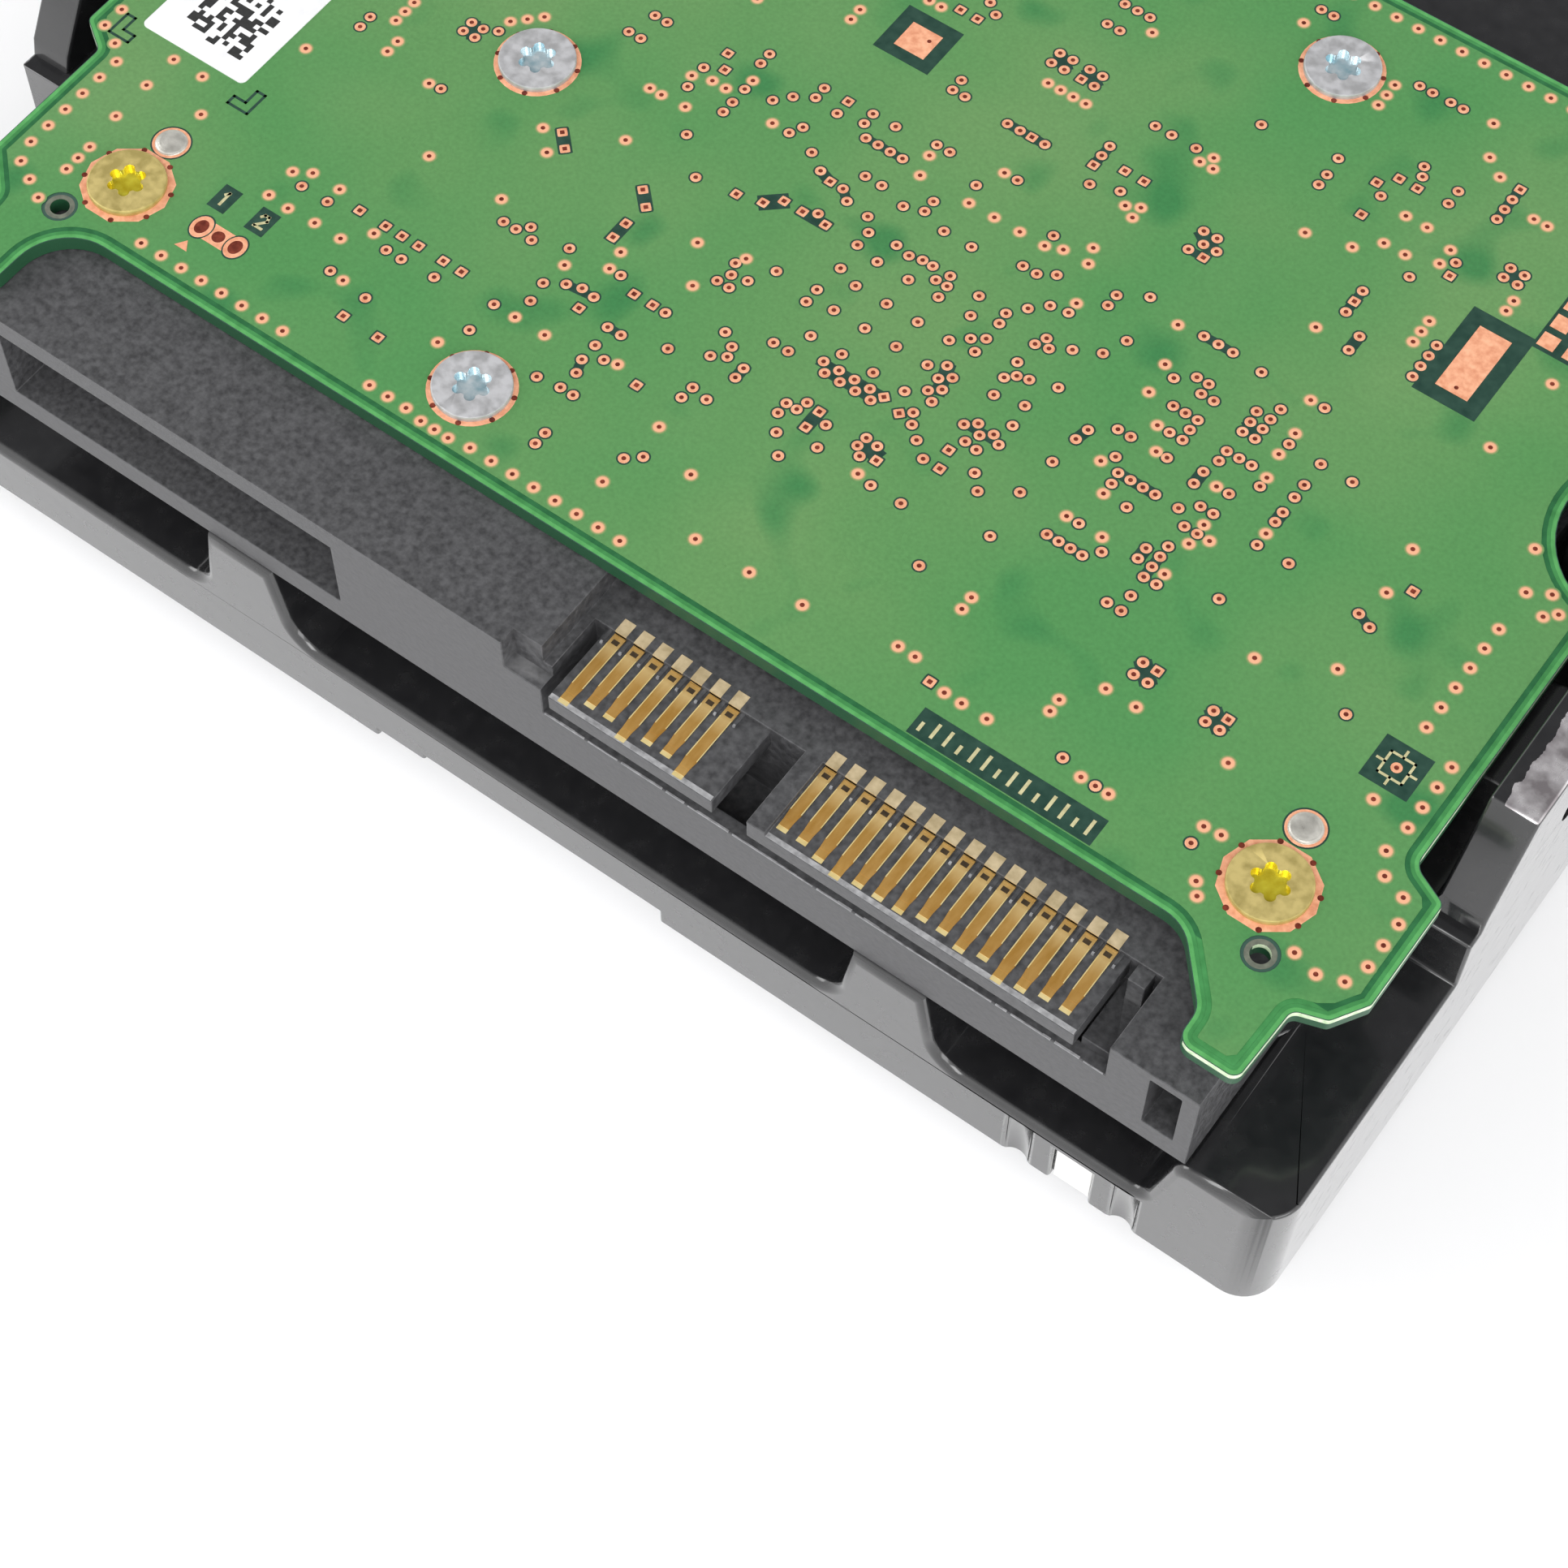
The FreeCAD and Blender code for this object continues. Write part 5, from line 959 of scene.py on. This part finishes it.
# the gold is painted in bands along the strip's length: lighter bands are painted highlights, darker
# ones painted shade
gp_run = gp_tree.nodes.new("ShaderNodeMapRange")
gp_run.inputs["From Min"].default_value = -0.0735
gp_run.inputs["From Max"].default_value = -0.0680
gp_tree.links.new(gp_split.outputs["Y"], gp_run.inputs["Value"])
gp_lit_bands = ramp(gp_tree, gp_run.outputs[0], [(0.0, (0.78, 0.47, 0.13)), (0.28, (0.55, 0.28, 0.055)),
                                             (0.62, (0.60, 0.33, 0.075)), (0.80, (0.98, 0.72, 0.32)),
                                             (0.92, (0.66, 0.41, 0.13))])
gp_noise = use_group(gp_tree, grain, Scale=700.0, Detail=6.0, Stretch=3.0)
gp_tree.links.new(mix_colour(gp_tree, 0.35, gp_lit_bands,
                             ramp(gp_tree, gp_noise.outputs[0], [(0.3, (0.50, 0.26, 0.05)),
                                                                 (0.7, (0.88, 0.58, 0.22))])),
                  gp_shader.inputs["Base Color"])
# a bright gold for the tips and side edges: painted highlight
tip_and_edge_highlight = textured("contact_gold_highlight", (0.80, 0.60, 0.22), (0.98, 0.82, 0.42), 1300.0, 0.10,
                       0.22, metallic=0.4)
# the bend hole is a dark brown square: painted shade in the hole
bend_shade = textured("painted_bend_shade", (0.022, 0.012, 0.004), (0.05, 0.03, 0.01), 2500.0, 0.5, 0.7)
pale_gold = textured("contact_tail_gold", (0.52, 0.40, 0.22), (0.78, 0.63, 0.40), 1800.0, 0.4, 0.6,
                     metallic=0.4)
contact_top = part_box("signal_contacts")[1].z / MM
contact_base = contact_top - 0.24
housing_deck = contact_top + 0.25
pitch, strip_width, root_y, tongue_front = 1.27, 0.75, -68.5, -73.42
tips = {"short": -72.70, "middle": -73.05, "long": -73.35}
sets = [("signal_contacts", "signal_strips", 4.5, 7, (3.6, 14.5),
         {0: "long", 3: "long", 6: "long"}),
        ("power_contacts", "power_strips", 18.47, 15, (16.8, 37.4),
         {3: "long", 11: "long", 2: "middle", 4: "middle", 5: "middle", 6: "middle",
          9: "middle", 12: "middle"})]


def bar(bm, x0, x1, y0, y1, z0, z1, kind, taper=0.0):
    """A closed box in mm; taper narrows its front end on both sides."""
    corners = [(x0 + taper, y0), (x1 - taper, y0), (x1, y1), (x0, y1)]
    low = [bm.verts.new((x * MM, y * MM, z0 * MM)) for x, y in corners]
    high = [bm.verts.new((x * MM, y * MM, z1 * MM)) for x, y in corners]
    bm.faces.new(high).material_index = kind
    bm.faces.new(low[::-1]).material_index = kind
    for i in range(4):
        j = (i + 1) % 4
        bm.faces.new((low[i], low[j], high[j], high[i])).material_index = kind


for node, name, first_x, count, tongue, reaches in sets:
    bm = bmesh.new()
    for k in range(count):
        x, tip = first_x + pitch * k, tips[reaches.get(k, "short")]
        half, thin = strip_width / 2, strip_width / 2 - 0.06
        bar(bm, x - half, x + half, tip + 1.35, root_y + 0.30, contact_base, contact_top, 0)
        bar(bm, x - half, x + half, tip + 0.75, tip + 1.35, contact_base, contact_top, 0, 0.06)
        bar(bm, x - half, x + half, root_y + 0.30, root_y + 1.25, housing_deck - 0.3,
            housing_deck + 0.012, 3)
        bar(bm, x - thin, x + thin, tip + 0.28, tip + 0.75, contact_base, contact_top - 0.01, 0)
        # the tip, in the bright gold of the painted highlight
        bar(bm, x - thin, x + thin, tip, tip + 0.28, contact_base, contact_top - 0.03, 1)
        # bright lines along both side edges: painted highlight
        for side in (-1, 1):
            edge = x + side * (half - 0.03)
            bar(bm, edge - 0.03, edge + 0.03, tip + 1.35, root_y - 0.45, contact_top - 0.10,
                contact_top + 0.008, 1)
        # the bend hole: a dark square of painted shade
        bar(bm, x - 0.20, x + 0.22, root_y - 0.32, root_y - 0.02, contact_top - 0.1,
            contact_top + 0.006, 2)
    strips = settle(bm, name, [gold_plate, tip_and_edge_highlight, bend_shade, pale_gold])
    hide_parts(node)

    # short moulded ribs stand between the roots, with tips painted pale as wear and a painted highlight
    bm = bmesh.new()
    for k in range(count + 1):
        x = first_x + pitch * (k - 0.5)
        bar(bm, x - 0.10, x + 0.10, root_y - 0.55, root_y + 0.35, contact_top - 0.3,
            contact_top + 0.10, 0)
        bar(bm, x - 0.07, x + 0.07, root_y - 0.66, root_y - 0.5, contact_top - 0.3,
            contact_top + 0.11, 1)
    # the tongue's flat top, and its front corner painted pale as wear and a painted highlight
    bar(bm, tongue[0] + 0.05, tongue[1] - 0.05, tongue_front + 0.04, root_y + 0.1,
        contact_top - 0.35, contact_top - 0.040, 0)
    bar(bm, tongue[0] + 0.06, tongue[1] - 0.06, tongue_front, tongue_front + 0.30,
        contact_top - 0.36, contact_top - 0.038, 1)
    settle(bm, name + "_ribs", [nylon, nylon_wear_and_highlight])

# the housing's front lip is painted pale along its top edge in broken runs: a painted highlight on the
# edge, partly wear from plugs
bm = bmesh.new()
lip_z, lip_y, lip_start, lip_end = contact_top - 3.05, -73.1, 2.9, 39.2
random.seed(11)
x = lip_start
while x < lip_end - 0.2:
    run = random.uniform(0.5, 1.6)
    wide = random.uniform(0.05, 0.13)
    bar(bm, x, min(x + run, lip_end), lip_y, lip_y + wide, lip_z - 0.1, lip_z + 0.02, 0)
    x += run + random.choice((0.0, 0.0, 0.25))
settle(bm, "lip_highlight", [nylon_wear_and_highlight])

# ---------------------------------------------------------------- board label
# A small white polyester label, stuck to the board, with a printed square pattern of no
# meaning.
label_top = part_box("board_label")[1].z / MM
softened("board_label", "label_sheet", 0.03,
         textured("label_film", (0.78, 0.78, 0.79), (0.90, 0.90, 0.91), 900.0, 0.35, 0.5,
                  bump=0.00002))
black_ink = textured("label_ink", (0.012, 0.012, 0.012), (0.03, 0.03, 0.03), 4000.0, 0.5, 0.6)
random.seed(5)
cells, cell, inked = 14, 0.335, 0.52
pattern_x, pattern_y = -41.0, -51.3
bm = bmesh.new()
for row in range(cells):
    for column in range(cells):
        if random.random() < inked:
            x, y = pattern_x + cell * column, pattern_y + cell * row
            bar(bm, x, x + cell, y, y + cell, label_top - 0.02, label_top + 0.004, 0)
settle(bm, "label_pattern", [black_ink])
